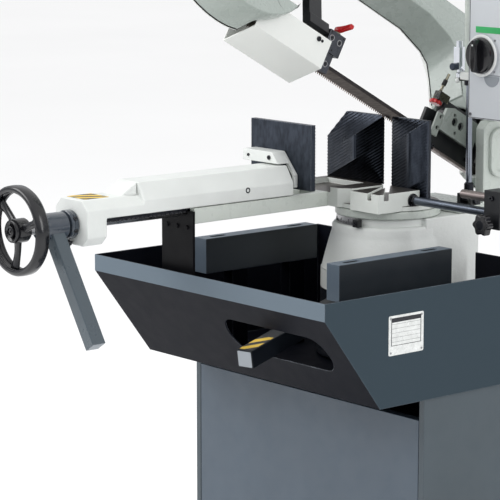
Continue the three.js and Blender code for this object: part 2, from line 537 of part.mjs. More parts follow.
function addGuides() {
  const line = BLADE.under;
  const at = (x0, x1, d0, d1, n0, n1) => block(x0, x1, -d1, -d0, line + n0, line + n1);
  // rear guide, fixed to the bow
  const plate = prism([
    [-200, line + 48], [-200, line - 12], [-160, line - 22], [-24, line - 22], [-24, line + 40], [-60, line + 82],
    [-158, line + 82], [-158, line + 52],
  ], 'YZ', 15, 23);
  const spacer = prism([
    [-168, line + 18], [-168, line + 56], [-150, line + 64], [-72, line + 64], [-72, line + 18],
  ], 'YZ', 22, 42 - GAP);
  const tapBody = at(6, 23, 150, 180, 74, 92);
  add('rear_guide_plate', join([plate, spacer, tapBody, at(1, 16, 112, 160, -8, 12)]), 'black', bow);
  const face = prism([
    [-172, line + 14], [-172, line + 60], [-152, line + 68], [-68, line + 68], [-68, line + 14],
  ], 'YZ', 42, 50);
  add('rear_guide_block', face.add(at(42, 47, 170, 189, -2, 45)), 'grey', bow);
  // front guide, on an arm that slides under the beam
  add('front_guide_block', join([
    at(4, 18, 457, 500, 29, 72),
    at(1, 12, 465, 489, -8, 30),
    rod([12, -478, line + 71], [12, -478, line + 74 - GAP], 5, 12),
  ]), 'black', bow);
}

function addFrontArm() {
  // In the band frame, x is a and z is t.
  const shoe = block(14, 50, -566, -490, 236, 249);
  const leg = block(26, 44, -556, -520, 44, 237);
  const bar = block(26, 46, -556, -501, 44, 66);
  add('front_guide_arm', join([shoe, leg, bar]), 'black', band);
  const line = BLADE.under;
  const sheet = 1.6;
  const guard = prismXZ([
    [20, line + 50], [20, line - 7], [-50 - sheet, line - 43], [-50 - sheet, line + 20], [-50, line + 20],
    [-50, line - 43 + 2 * sheet], [20 - sheet, line - 7 + sheet], [20 - sheet, line + 50],
  ], -676, -489);
  add('blade_guard', guard, 'white', bow);
}

function addCoolant() {
  add('coolant_tank', cut(block(-260, 60, -150, 230, 12, 200), [block(-257, 57, -147, 227, 15, 201)]), 'black');
  add('coolant_pump', join([rod([-200, 40, 30], [-200, 40, 262], 34, 20), block(-240, -160, 0, 80, 204, 212)]), 'slate');
  const line = BLADE.under;
  const lever = prismXZ([[6, line + 74], [18, line + 74], [46, line + 84], [46, line + 93], [16, line + 85],
    [6, line + 84]], -484, -472);
  add('front_tap_lever', lever, 'red', bow);
  add('rear_tap_knob', rod([12, -173, line + 65], [12, -173, line + 74 - GAP], 12.5, 16), 'red', bow);
}

function addBowTrim() {
  // bracket that carries the head of the lift cylinder, and the pull handle
  const { x, topY, topZ } = CYLINDER;
  const swing = radians(RAISED);
  const y = topY - PIVOT.y;
  const z = topZ - PIVOT.z;
  const head = new THREE.Vector3(0, y, z).applyAxisAngle(new THREE.Vector3(1, 0, 0), swing);
  add('cylinder_bracket', join([
    block(-96, x + 18, head.y - 12, head.y + 12, head.z + 24, head.z + 36),
    block(x - 26, x - 18, head.y - 12, head.y + 12, head.z - 14, head.z + 25),
    block(x + 18, x + 26, head.y - 12, head.y + 12, head.z - 14, head.z + 36),
    rod([x - 22, head.y, head.z], [x + 22, head.y, head.z], 6, 14),
  ]), 'white', bow);
}

addCabinet();
addTray();
addRails();
addBase();
addTable();
addVice();
addCarriage();
addHandwheel();
addMitreLever();
addLengthStop();
addTurntable();
addControlBox();
addCylinder();
addBow();
addGuides();
addFrontArm();
addCoolant();
addBowTrim();

export default saw;
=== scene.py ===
"""Pull-down mitre band saw: its finished surfaces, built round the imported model.

Sizes in the functions are millimetres, in the frame of the CAD part, and the meshes are scaled to metres.
Two more frames lie inside it: the bow, which is raised about its hinge, and in it the leaning band wheels.
"""
import math

import bmesh
import bpy
from mathutils import Matrix, Vector


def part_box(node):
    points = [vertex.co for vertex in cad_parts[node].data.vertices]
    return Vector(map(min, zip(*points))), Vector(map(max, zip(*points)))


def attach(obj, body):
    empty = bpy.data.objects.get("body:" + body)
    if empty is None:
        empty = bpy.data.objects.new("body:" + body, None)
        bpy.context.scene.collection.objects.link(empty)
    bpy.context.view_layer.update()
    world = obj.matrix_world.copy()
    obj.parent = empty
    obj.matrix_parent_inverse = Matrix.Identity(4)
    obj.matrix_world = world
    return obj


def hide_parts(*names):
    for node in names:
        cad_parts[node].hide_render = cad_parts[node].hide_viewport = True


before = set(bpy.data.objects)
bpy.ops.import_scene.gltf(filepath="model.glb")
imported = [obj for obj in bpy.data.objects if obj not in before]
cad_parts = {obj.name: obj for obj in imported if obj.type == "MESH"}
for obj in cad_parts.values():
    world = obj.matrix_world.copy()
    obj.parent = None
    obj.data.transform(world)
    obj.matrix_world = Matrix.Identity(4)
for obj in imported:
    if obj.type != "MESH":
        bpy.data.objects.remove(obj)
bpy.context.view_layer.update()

MM = 0.001
WORLD = Matrix.Identity(4)
HINGE = Vector((0, 260, 958))          # the bow turns about X here
RAISED = 28.8                          # degrees that the bow stands open at rest
BLADE_LINE = -51.5                     # the blade's centre line, below the hinge
LEAN = 29.4                            # degrees that the band wheels lean to the left
BOW = Matrix.Translation(HINGE * MM) @ Matrix.Rotation(math.radians(-RAISED), 4, "X")
BAND = BOW @ Matrix.Translation((0, 0, BLADE_LINE * MM)) @ Matrix.Rotation(math.radians(-LEAN), 4, "Y")
BAND_OF_BOW = Matrix.Rotation(math.radians(LEAN), 4, "Y") @ Matrix.Translation((0, 0, -BLADE_LINE))
WHEEL_RADIUS = 145
WHEELS = (-66, 744)                    # places of the rear and the front band wheel along the bow
HOUSING_RADIUS = 172
HOUSING_DEPTH = 60
JAW_GROOVES = (5.6, 27, 1.3)           # pitch, slope in degrees and depth of the jaws' grooves


# ---------------------------------------------------------------- closed meshes, in millimetres
def mesh_of(corners, faces):
    form = bmesh.new()
    points = [form.verts.new(corner) for corner in corners]
    for face in faces:
        form.faces.new([points[i] for i in face])
    bmesh.ops.remove_doubles(form, verts=form.verts, dist=1e-4)
    bmesh.ops.recalc_face_normals(form, faces=form.faces)
    mesh = bpy.data.meshes.new("form")
    form.to_mesh(mesh)
    form.free()
    return mesh


def loft(rings, closed=False):
    """A skin through rings of equally many points, capped at both ends unless it closes on itself."""
    count = len(rings[0])
    faces = []
    for i in range(len(rings) if closed else len(rings) - 1):
        here, there = i * count, (i + 1) % len(rings) * count
        for k in range(count):
            m = (k + 1) % count
            faces.append((here + k, here + m, there + m, there + k))
    if not closed:
        faces.append(tuple(range(count)))
        faces.append(tuple(range((len(rings) - 1) * count, len(rings) * count)))
    return mesh_of([point for ring in rings for point in ring], faces)


def block(x0, x1, y0, y1, z0, z1):
    low = [(x0, y0, z0), (x1, y0, z0), (x1, y1, z0), (x0, y1, z0)]
    return loft([low, [(x, y, z1) for x, y, z in low]])


def prism(outline, plane, low, high):
    """An outline in one plane, carried from low to high along the third axis."""
    place = {
        "XY": lambda u, v, w: (u, v, w),
        "YZ": lambda u, v, w: (w, u, v),
        "XZ": lambda u, v, w: (u, w, v),
    }[plane]
    return loft([[place(u, v, w) for u, v in outline] for w in (low, high)])


def pointing(start, axis):
    """The frame at start whose Z runs along axis."""
    return Matrix.Translation(start) @ Vector(axis).to_track_quat("Z", "Y").to_matrix().to_4x4()


def turned(profile, start=(0, 0, 0), axis=(0, 0, 1), sides=48):
    """A profile of (radius, height) points turned about an axis."""
    place = pointing(start, axis)
    rings = []
    for i in range(sides):
        c, s = math.cos(math.tau * i / sides), math.sin(math.tau * i / sides)
        rings.append([place @ Vector((radius * c, radius * s, height)) for radius, height in profile])
    return loft(rings, closed=True)


def rod(start, end, radius, sides=48, radius_end=None):
    along = Vector(end) - Vector(start)
    tip = radius if radius_end is None else radius_end
    return turned([(0, 0), (radius, 0), (tip, along.length), (0, along.length)], start, along, sides)


def tube(start, end, radius, bore, sides=48):
    along = Vector(end) - Vector(start)
    length = along.length
    return turned([(bore, 0), (radius, 0), (radius, length), (bore, length)], start, along, sides)


def pipe(points, radius, sides=16):
    """A round pipe through points, mitred at its bends."""
    path = [Vector(point) for point in points]
    rings = []
    side = (path[1] - path[0]).orthogonal().normalized()
    for i, here in enumerate(path):
        ahead = (path[min(i + 1, len(path) - 1)] - path[max(i - 1, 0)]).normalized()
        side = (side - ahead * side.dot(ahead)).normalized()
        other = ahead.cross(side)
        rings.append([here + (side * math.cos(math.tau * k / sides) + other * math.sin(math.tau * k / sides))
                      * radius for k in range(sides)])
    return loft(rings)


def screw(centre, axis, radius, height):
    """A socket-head screw, standing on a face."""
    place = pointing(centre, axis)
    steps = 24

    def ring(size, level, hexagonal=False):
        points = []
        for i in range(steps):
            angle = math.tau * i / steps
            flat = math.cos(math.pi / 6) / math.cos(angle % (math.pi / 3) - math.pi / 6) if hexagonal else 1
            points.append(place @ Vector((size * flat * math.cos(angle), size * flat * math.sin(angle),
                                          level)))
        return points

    return loft([
        ring(radius, -1), ring(radius, height * 0.85), ring(radius * 0.92, height),
        ring(radius * 0.56, height, True), ring(radius * 0.56, height * 0.35, True),
    ])


def hex_bolt(centre, axis, radius, height):
    """A hexagon head with a round crown and a washer."""
    direction = Vector(axis).normalized()
    top = Vector(centre) + direction * height
    return [
        rod(centre, Vector(centre) + direction * height * 0.25, radius * 1.25, 32),
        rod(Vector(centre), top, radius, 6),
        rod(top, top + direction * height * 0.15, radius * 0.8, 32, radius * 0.6),
    ]


def slot_outline(u0, u1, v0, v1, steps=12):
    """A slot with round ends, along its first axis."""
    radius, middle = (v1 - v0) / 2, (v0 + v1) / 2
    points = []
    for centre, start in ((u1 - radius, -math.pi / 2), (u0 + radius, math.pi / 2)):
        for i in range(steps + 1):
            angle = start + math.pi * i / steps
            points.append((centre + radius * math.cos(angle), middle + radius * math.sin(angle)))
    return points


def rounded(u0, u1, v0, v1, radius, steps=6):
    """A rectangle with round corners."""
    corners = ((u1 - radius, v0 + radius, -90), (u1 - radius, v1 - radius, 0),
               (u0 + radius, v1 - radius, 90), (u0 + radius, v0 + radius, 180))
    points = []
    for u, v, start in corners:
        for i in range(steps + 1):
            angle = math.radians(start + 90 * i / steps)
            points.append((u + radius * math.cos(angle), v + radius * math.sin(angle)))
    return points


def moved(mesh, matrix):
    mesh.transform(matrix)
    return mesh


def boolean(operation, whole, others):
    """Joins, cuts or intersects closed meshes."""
    scene = bpy.context.scene
    target = bpy.data.objects.new("whole", whole)
    scene.collection.objects.link(target)
    work = [target]
    for other in others:
        tool = bpy.data.objects.new("tool", other)
        scene.collection.objects.link(tool)
        step = target.modifiers.new("step", "BOOLEAN")
        step.operation, step.object, step.solver = operation, tool, "MANIFOLD"
        work.append(tool)
    graph = bpy.context.evaluated_depsgraph_get()
    made = bpy.data.meshes.new_from_object(target.evaluated_get(graph))
    for used in work:
        bpy.data.objects.remove(used)
    return made


def cut(whole, *others):
    return boolean("DIFFERENCE", whole, others)


def join(whole, *others):
    return boolean("UNION", whole, others)


# ---------------------------------------------------------------- pieces
def soften(obj, edge, angle=30):
    """Rounds an object's sharp edges and shades its flat faces flat."""
    obj.data.shade_smooth()
    if edge:
        bevel = obj.modifiers.new("edges", "BEVEL")
        bevel.width = edge * MM
        bevel.segments = 2
        bevel.limit_method = "ANGLE"
        bevel.angle_limit = math.radians(angle)
        bevel.use_clamp_overlap = False
        bevel.miter_outer = "MITER_ARC"
    normals = obj.modifiers.new("normals", "WEIGHTED_NORMAL")
    normals.weight = 80
    return obj


def piece(name, forms, body, material, place=WORLD, edge=0.5, stands_for=(), angle=30):
    """One finished piece, made of closed meshes in millimetres."""
    whole = bmesh.new()
    for form in forms if isinstance(forms, (list, tuple)) else [forms]:
        whole.from_mesh(form)
        bpy.data.meshes.remove(form)
    mesh = bpy.data.meshes.new(name)
    whole.to_mesh(mesh)
    whole.free()
    mesh.transform(place @ Matrix.Scale(MM, 4))
    mesh.materials.clear()
    mesh.materials.append(material)
    obj = bpy.data.objects.new(name, mesh)
    bpy.context.scene.collection.objects.link(obj)
    soften(obj, edge, angle)
    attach(obj, body)
    if stands_for:
        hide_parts(*stands_for)
    return obj


def dress(nodes, material, edge=0.8, angle=30, flatten=True):
    """Gives CAD nodes their finish and small round edges."""
    for name in nodes:
        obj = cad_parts[name]
        obj.data.materials.clear()
        obj.data.materials.append(material)
        if "custom_normal" in obj.data.attributes:
            obj.data.attributes.remove(obj.data.attributes["custom_normal"])
        weld = obj.modifiers.new("weld", "WELD")
        weld.merge_threshold = 0.01 * MM
        if flatten:
            flat = obj.modifiers.new("flat", "DECIMATE")
            flat.decimate_type = "DISSOLVE"
            flat.angle_limit = math.radians(0.6)
        soften(obj, edge, angle)


# ---------------------------------------------------------------- materials
def linear(red, green, blue):
    """A colour on the 0 to 255 display scale, as linear light."""
    def channel(value):
        share = value / 255
        return share / 12.92 if share <= 0.04045 else ((share + 0.055) / 1.055) ** 2.4
    return (channel(red), channel(green), channel(blue), 1.0)


class Graph:
    """A material's nodes, each added and wired in one call."""

    def __init__(self, name):
        self.material = bpy.data.materials.new(name)
        self.material.use_nodes = True
        self.nodes = self.material.node_tree.nodes
        self.links = self.material.node_tree.links
        self.shader = self.nodes["Principled BSDF"]
        self.place = self.add("TexCoord").outputs["Object"]

    def put(self, socket, value):
        if isinstance(value, bpy.types.NodeSocket):
            self.links.new(value, socket)
        else:
            socket.default_value = value

    def add(self, kind, inputs=(), **settings):
        node = self.nodes.new("ShaderNode" + kind)
        for key, value in settings.items():
            setattr(node, key, value)
        for key, value in dict(inputs).items():
            self.put(node.inputs[key], value)
        return node

    def set(self, **inputs):
        for key, value in inputs.items():
            self.put(self.shader.inputs[key.replace("_", " ")], value)

    def math(self, operation, first, second=0.0):
        return self.add("Math", {0: first, 1: second}, operation=operation).outputs[0]

    def noise(self, scale, detail=2.0, stretch=(1, 1, 1)):
        place = self.place
        if stretch != (1, 1, 1):
            place = self.add("Mapping", {"Vector": place, "Scale": stretch}).outputs[0]
        return self.add("TexNoise", {"Vector": place, "Scale": scale, "Detail": detail}).outputs["Fac"]

    def span(self, value, low, high, source=(0.3, 0.7)):
        return self.add("MapRange", {
            "Value": value, "From Min": source[0], "From Max": source[1], "To Min": low, "To Max": high,
        }).outputs[0]

    def mix(self, factor, first, second):
        node = self.add("Mix", data_type="RGBA")
        self.put(node.inputs[0], factor)
        self.put(node.inputs[6], first)
        self.put(node.inputs[7], second)
        return node.outputs[2]

    def edges(self, width, low=0.02, high=0.25):
        """1 on convex and concave edges, fading to 0 within width millimetres."""
        soft = self.add("Bevel", {"Radius": width * MM}, samples=4).outputs[0]
        hard = self.add("NewGeometry").outputs["Normal"]
        same = self.add("VectorMath", {0: soft, 1: hard}, operation="DOT_PRODUCT").outputs["Value"]
        return self.span(self.math("SUBTRACT", 1.0, same), 0.0, 1.0, (low, high))

    def relief(self, height, depth, strength=1.0):
        bump = self.add("Bump", {"Height": height, "Distance": depth * MM, "Strength": strength})
        self.set(Normal=bump.outputs[0])


def shades(colour, spread):
    """A colour a little darker and a little lighter."""
    return tuple(min(1.0, c * (1 - spread)) for c in colour[:3]) + (1.0,), \
        tuple(min(1.0, c * (1 + spread)) for c in colour[:3]) + (1.0,)


def painted(name, rgb, roughness=0.45, grain=300, depth=0.08, spread=0.06, edge_wear_and_highlight=None, wear_and_highlight_strength=0.5, coat=0.0,
            shine=0.5):
    """Sprayed paint: a fine orange peel, patches of darker and lighter tone, and edges painted lighter, partly
    as wear and partly as a painted highlight.
    """
    graph = Graph(name)
    dark, light = shades(linear(*rgb), spread)
    colour = graph.mix(graph.span(graph.noise(7, 4), 0, 1), dark, light)
    # Edges painted lighter: partly wear, partly a painted highlight where they would catch the light.
    if edge_wear_and_highlight:
        patchy = graph.span(graph.noise(60, 3), 0.25, 1.0, (0.4, 0.65))
        mask = graph.math("MULTIPLY", graph.math("MULTIPLY", graph.edges(1.6), patchy), wear_and_highlight_strength)
        colour = graph.mix(mask, colour, linear(*edge_wear_and_highlight))
    graph.set(Base_Color=colour, Coat_Weight=coat, Specular_IOR_Level=shine)
    graph.set(Roughness=graph.span(graph.noise(35, 3), roughness - 0.06, roughness + 0.08))
    graph.relief(graph.noise(grain, 3), depth)
    return graph.material


def cast(name, rgb, roughness=0.4, spread=0.05):
    """Enamel over rough cast iron: lumps a few millimetres across, and a finer grain on them."""
    graph = Graph(name)
    dark, light = shades(linear(*rgb), spread)
    graph.set(Base_Color=graph.mix(graph.span(graph.noise(9, 5), 0, 1), dark, light))
    graph.set(Roughness=graph.span(graph.noise(50, 3), roughness - 0.08, roughness + 0.1), Coat_Weight=0.15)
    lumps = graph.math("MULTIPLY", graph.noise(110, 2), 2.0)
    graph.relief(graph.math("ADD", lumps, graph.noise(420, 2)), 0.28, 0.8)
    return graph.material


def metal(name, rgb, roughness, brush=(1, 1, 1), spread=0.12, depth=0.02, grain=160, edge_wear_and_highlight=None):
    """Bare metal, brushed along the axis that is stretched least."""
    graph = Graph(name)
    dark, light = shades(linear(*rgb), spread)
    streaks = graph.noise(grain, 4, brush)
    colour = graph.mix(graph.span(streaks, 0, 1), dark, light)
    # Edges painted lighter: partly wear, partly a painted highlight.
    if edge_wear_and_highlight:
        colour = graph.mix(graph.math("MULTIPLY", graph.edges(1.4), 0.8), colour, linear(*edge_wear_and_highlight))
    graph.set(Base_Color=colour, Metallic=1.0)
    graph.set(Roughness=graph.span(graph.noise(40, 4, brush), roughness * 0.75, roughness * 1.3))
    graph.relief(streaks, depth)
    return graph.material


def moulded(name, rgb, roughness=0.25, grain=500, depth=0.03):
    """Moulded plastic with a faint grain."""
    graph = Graph(name)
    dark, light = shades(linear(*rgb), 0.1)
    graph.set(Base_Color=graph.mix(graph.span(graph.noise(30, 3), 0, 1), dark, light))
    graph.set(Roughness=graph.span(graph.noise(90, 3), roughness - 0.05, roughness + 0.08), Coat_Weight=0.1)
    graph.relief(graph.noise(grain, 2), depth)
    return graph.material


def tray_paint_and_shade():
    """Dark tray enamel with painted light and shade: near-black as painted shade inside and under its slope, a
    mid slate as painted shade on its side panels, and a lighter slate as painted light on its upright front
    band.
    """
    graph = Graph("tray_enamel_painted_shade")
    low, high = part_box("chip_tray")
    place = graph.add("SeparateXYZ", {0: graph.place})
    facing = graph.add("SeparateXYZ", {0: graph.add("NewGeometry").outputs["True Normal"]})
    # Side panels painted a mid slate, as painted shade.
    shaded_side_panels = graph.math("GREATER_THAN", graph.math("ABSOLUTE", place.outputs["X"]), high.x - 0.6 * MM)
    front = graph.math("LESS_THAN", place.outputs["Y"], low.y + 0.6 * MM)
    # The upright front band is painted lighter, as painted light where it faces forward.
    upright = graph.math("LESS_THAN", facing.outputs["Y"], -0.5)
    band = graph.math("MULTIPLY", front, upright)
    # Everywhere else near-black, as painted shade.
    dark, light = shades(linear(15, 17, 25), 0.06)
    colour = graph.mix(graph.span(graph.noise(5, 4), 0, 1), dark, light)
    colour = graph.mix(shaded_side_panels, colour, linear(56, 68, 76))
    colour = graph.mix(band, colour, linear(104, 116, 126))
    patchy = graph.span(graph.noise(40, 3), 0.35, 1.0, (0.4, 0.65))
    # Edges painted lighter: partly wear, partly a painted highlight.
    colour = graph.mix(graph.math("MULTIPLY", graph.edges(1.8), patchy), colour, linear(168, 176, 184))
    graph.set(Base_Color=colour, Specular_IOR_Level=0.06)
    graph.set(Roughness=graph.span(graph.noise(35, 3), 0.5, 0.55))
    graph.relief(graph.noise(420, 3), 0.08)
    return graph.material


def base_paint_shaded_foot():
    """White enamel over rough cast iron, with the foot below 0.7 m, where it stands in the tray, painted dark
    as painted shade.
    """
    graph = Graph("base_enamel_shaded_foot")
    height = graph.add("SeparateXYZ", {0: graph.place}).outputs["Z"]
    # Below 0.7 m the white casting is painted near-black, as painted shade down in the tray.
    foot = graph.math("LESS_THAN", height, 0.7)
    dark, light = shades(linear(226, 229, 226), 0.05)
    white = graph.mix(graph.span(graph.noise(9, 5), 0, 1), dark, light)
    graph.set(Base_Color=graph.mix(foot, white, linear(26, 29, 36)), Coat_Weight=0.15)
    graph.set(Roughness=graph.span(graph.noise(50, 3), 0.32, 0.5))
    lumps = graph.math("MULTIPLY", graph.noise(110, 2), 2.0)
    graph.relief(graph.math("ADD", lumps, graph.noise(420, 2)), 0.28, 0.8)
    return graph.material


def shaded_rail_paint():
    """Slate tops and ends, with darker sides and legs darker still as painted shade, and edges painted
    lighter, partly as wear and partly as a painted highlight.
    """
    graph = Graph("rail_paint_painted_shade")
    facing = graph.add("SeparateXYZ", {0: graph.add("NewGeometry").outputs["True Normal"]})
    # Faces that point sideways are painted darker, as painted shade.
    side = graph.math("GREATER_THAN", graph.math("ABSOLUTE", facing.outputs["X"]), 0.7)
    # Legs below 0.734 m are painted darker still and less shiny, as painted shade.
    shaded_leg = graph.math("LESS_THAN", graph.add("SeparateXYZ", {0: graph.place}).outputs["Z"], 0.734)
    dark, light = shades(linear(84, 96, 108), 0.08)
    slate = graph.mix(graph.span(graph.noise(8, 4), 0, 1), dark, light)
    colour = graph.mix(shaded_leg, graph.mix(side, slate, linear(34, 40, 46)), linear(7, 8, 12))
    patchy = graph.span(graph.noise(60, 3), 0.25, 1.0, (0.4, 0.65))
    # Edges painted lighter: partly wear, partly a painted highlight.
    colour = graph.mix(graph.math("MULTIPLY", graph.edges(1.6), patchy), colour, linear(150, 160, 170))
    graph.set(Base_Color=colour, Specular_IOR_Level=graph.math("SUBTRACT", 0.4,
                                                               graph.math("MULTIPLY", shaded_leg, 0.4)))
    graph.set(Roughness=graph.span(graph.noise(35, 3), 0.38, 0.5))
    graph.relief(graph.noise(420, 3), 0.1)
    return graph.material


def table_finish_and_shade():
    """Painted sides under a scraped, machined top, whose bare steel is set darker, partly as painted shade and
    reflection of the dark jaws over it.
    """
    graph = Graph("table_casting_shaded_top")
    facing = graph.add("SeparateXYZ", {0: graph.add("NewGeometry").outputs["True Normal"]})
    top = graph.math("GREATER_THAN", facing.outputs["Z"], 0.9)
    dark, light = shades(linear(222, 226, 221), 0.05)
    paint = graph.mix(graph.span(graph.noise(12, 4), 0, 1), dark, light)
    scrape = graph.noise(90, 4, (1, 6, 1))
    # The top's bare steel is set darker, partly as painted shade and reflection of the dark jaws.
    bare = graph.mix(graph.span(scrape, 0, 1), linear(78, 74, 72), linear(122, 118, 114))
    graph.set(Base_Color=graph.mix(top, paint, bare), Metallic=graph.math("MULTIPLY", top, 0.9))
    graph.set(Roughness=graph.span(scrape, 0.3, 0.5))
    graph.relief(graph.noise(260, 3), 0.12)
    return graph.material


def blade_finish():
    """Bimetal band: brown-grey rolled steel, streaked along its length."""
    return metal("band_steel", (104, 98, 94), 0.34, brush=(3, 0.2, 3), grain=240, spread=0.25)


def stripes_finish():
    """Slanting black and yellow marking on a thin plastic film."""
    graph = Graph("stripe_film")
    place = graph.add("SeparateXYZ", {0: graph.place})
    along = graph.math("ADD", place.outputs["X"], graph.math("MULTIPLY", place.outputs["Y"], -0.55))
    wave = graph.math("GREATER_THAN", graph.math("SINE", graph.math("MULTIPLY", along, math.tau / 0.03)), 0.1)
    dirt = graph.span(graph.noise(60, 4), 0, 0.35)
    yellow = graph.mix(dirt, linear(244, 204, 62), linear(206, 166, 54))
    graph.set(Base_Color=graph.mix(wave, yellow, linear(32, 30, 30)))
    graph.set(Roughness=graph.span(graph.noise(80, 3), 0.3, 0.45))
    return graph.material


def plate_finish(low, high):
    """A printed metal plate with empty ruled boxes: no words, only the form's lines."""
    graph = Graph("plate_print")
    place = graph.add("SeparateXYZ", {0: graph.place})
    across = graph.span(place.outputs["Y"], 0, 1, (low.y, high.y))
    up = graph.span(place.outputs["Z"], 0, 1, (low.z, high.z))

    def between(value, start, end):
        return graph.math("MULTIPLY", graph.math("GREATER_THAN", value, start),
                          graph.math("LESS_THAN", value, end))

    inside = graph.math("MULTIPLY", between(across, 0.07, 0.93), between(up, 0.24, 0.94))
    bare = graph.math("MULTIPLY", between(across, 0.09, 0.91), between(up, 0.255, 0.83))
    frame_line = graph.math("SUBTRACT", inside, bare)
    rows = graph.math("LESS_THAN", graph.math("FRACT", graph.math("MULTIPLY", up, 9.0)), 0.1)
    ruled = graph.math("MULTIPLY", rows, bare)
    ink = graph.math("MAXIMUM", frame_line, graph.math("MULTIPLY", ruled, 0.55))
    scuffs = graph.mix(graph.span(graph.noise(90, 4), 0, 1), linear(214, 216, 214), linear(236, 238, 236))
    graph.set(Base_Color=graph.mix(ink, scuffs, linear(34, 36, 42)))
    graph.set(Roughness=graph.span(graph.noise(120, 2), 0.25, 0.4), Metallic=0.2)
    return graph.material


WHITE = cast("white_enamel", (226, 229, 226))
SHEET_WHITE = painted("white_sheet_paint", (232, 234, 230), 0.42, spread=0.03)
GREY = cast("grey_enamel", (200, 207, 200), 0.3)
# The bow's white-grey enamel, painted darker all over as painted shade.
BOW_SHADED_ENAMEL = cast("bow_enamel_painted_shade", (166, 175, 169), 0.28)
GUIDE_GREY = cast("guide_enamel", (146, 154, 148), 0.32)
BEAM_GREY = cast("beam_enamel", (208, 214, 207), 0.3)
PANEL_DARK = painted("panel_dark_grey", (150, 156, 162), 0.5, grain=700, depth=0.05, spread=0.02)
PANEL_GREY = painted("panel_grey", (206, 210, 214), 0.5, grain=700, depth=0.05, spread=0.02)
SLATE = painted("slate_paint", (74, 86, 98), 0.42, grain=420, depth=0.1, edge_wear_and_highlight=(150, 160, 170), wear_and_highlight_strength=0.7)
# A darker copy of the slate for the cabinet's sides and door, as painted shade.
SLATE_SHADED = painted("slate_paint_shaded_side", (64, 75, 82), 0.42, grain=420, depth=0.1, edge_wear_and_highlight=(150, 160, 170),
                     wear_and_highlight_strength=0.7)
LEVER_PAINT = painted("lever_paint", (66, 78, 86), 0.3, grain=260, depth=0.1, edge_wear_and_highlight=(168, 176, 182), wear_and_highlight_strength=0.5,
                      coat=0.2)
HAMMERED = painted("hammered_paint", (58, 66, 76), 0.2, grain=130, depth=0.5, spread=0.15, coat=0.5)
BLACK = painted("black_paint", (18, 20, 24), 0.4, grain=300, depth=0.1, edge_wear_and_highlight=(86, 88, 92), wear_and_highlight_strength=0.6)
END_BLACK = painted("plate_black_paint", (9, 9, 12), 0.45, grain=300, depth=0.1, edge_wear_and_highlight=(70, 72, 78), wear_and_highlight_strength=0.5,
                    shine=0.1)
# The mitre lever's paint, near-black as painted shade on its unlit sides.
BAR_PAINTED_SHADE = painted("bar_paint_as_shade", (20, 24, 30), 0.35, grain=260, depth=0.1, edge_wear_and_highlight=(150, 156, 162), wear_and_highlight_strength=0.6,
                    shine=0.2)
JAW = metal("jaw_blued", (62, 67, 76), 0.36, brush=(1, 4, 0.4), grain=120, spread=0.3, edge_wear_and_highlight=(176, 182, 190))
STEEL = metal("turned_steel", (158, 158, 160), 0.3, brush=(1, 1, 5), grain=180)
DARK_STEEL = metal("dark_steel", (92, 98, 108), 0.3, brush=(0.3, 3, 3), grain=180, spread=0.2)
BROWN_STEEL = metal("rolled_bar", (142, 132, 130), 0.42, brush=(0.3, 3, 3), grain=160, spread=0.2)
BLACK_STEEL = metal("blackened_steel", (46, 47, 52), 0.38, grain=260, spread=0.25, edge_wear_and_highlight=(150, 150, 152))
GUIDE_STEEL = metal("guide_steel", (84, 86, 92), 0.45, brush=(2, 2, 2), grain=220, spread=0.2,
                    edge_wear_and_highlight=(170, 172, 176))
ROD_CHROME = metal("rod_chrome", (138, 144, 154), 0.14, brush=(4, 4, 0.3), grain=120, spread=0.1, depth=0.005)
CHROME = metal("chrome", (222, 226, 232), 0.07, grain=60, spread=0.04, depth=0.004)
BRASS = metal("plated_brass", (150, 146, 130), 0.2, grain=120, spread=0.1)
BLADE = blade_finish()
BLADE_BACK = metal("band_back", (70, 66, 66), 0.36, grain=240, spread=0.2)
TOOTH = metal("tooth_tip", (164, 128, 100), 0.34, grain=300, spread=0.25)
PLASTIC = moulded("black_plastic", (20, 21, 25), 0.2, grain=380, depth=0.05)
KNOB_PLASTIC = moulded("knob_plastic", (16, 16, 20), 0.14)
RED = moulded("red_plastic", (176, 22, 26), 0.28)
GREEN = moulded("green_film", (52, 172, 98), 0.4)
WHITE_PLASTIC = moulded("white_plastic", (238, 240, 238), 0.3)
RUBBER = moulded("black_rubber", (16, 15, 15), 0.6, grain=260, depth=0.1)
SWITCH_BLUE = moulded("valve_knob", (24, 40, 62), 0.3)
STRIPES = stripes_finish()
TRAY = tray_paint_and_shade()
TABLE = table_finish_and_shade()
BASE = base_paint_shaded_foot()
RAIL = shaded_rail_paint()


# ---------------------------------------------------------------- cabinet, tray and rails
def make_cabinet():
    dress(["cabinet", "cabinet_door"], SLATE_SHADED, 1.2)
    dress(["front_panel"], SLATE, 1.2)
    low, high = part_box("cabinet_door")
    x, y = low.x / MM, high.y / MM - 20
    knuckles = []
    for z in (140, 420):
        knuckles.append(rod((x, y, z - 30), (x, y, z + 30), 3.8, 24))
        knuckles.append(block(x, x + 22, y + 1, y + 2.6, z - 28, z + 28))
    piece("door_hinges", knuckles, "door", BLACK_STEEL)
    lock = (high.x / MM - 32, high.y / MM, 300)
    piece("door_lock", cut(rod(lock, (lock[0], lock[1] + 4, lock[2]), 14),
                           block(lock[0] - 8, lock[0] + 8, lock[1] + 1, lock[1] + 6, 298, 302)), "door",
                           CHROME)
    feet = [rod((x, y, 0), (x, y, 9), 26, 32) for x in (-290, 290) for y in (-180, 290)]
    piece("levelling_feet", feet, "base", RUBBER)


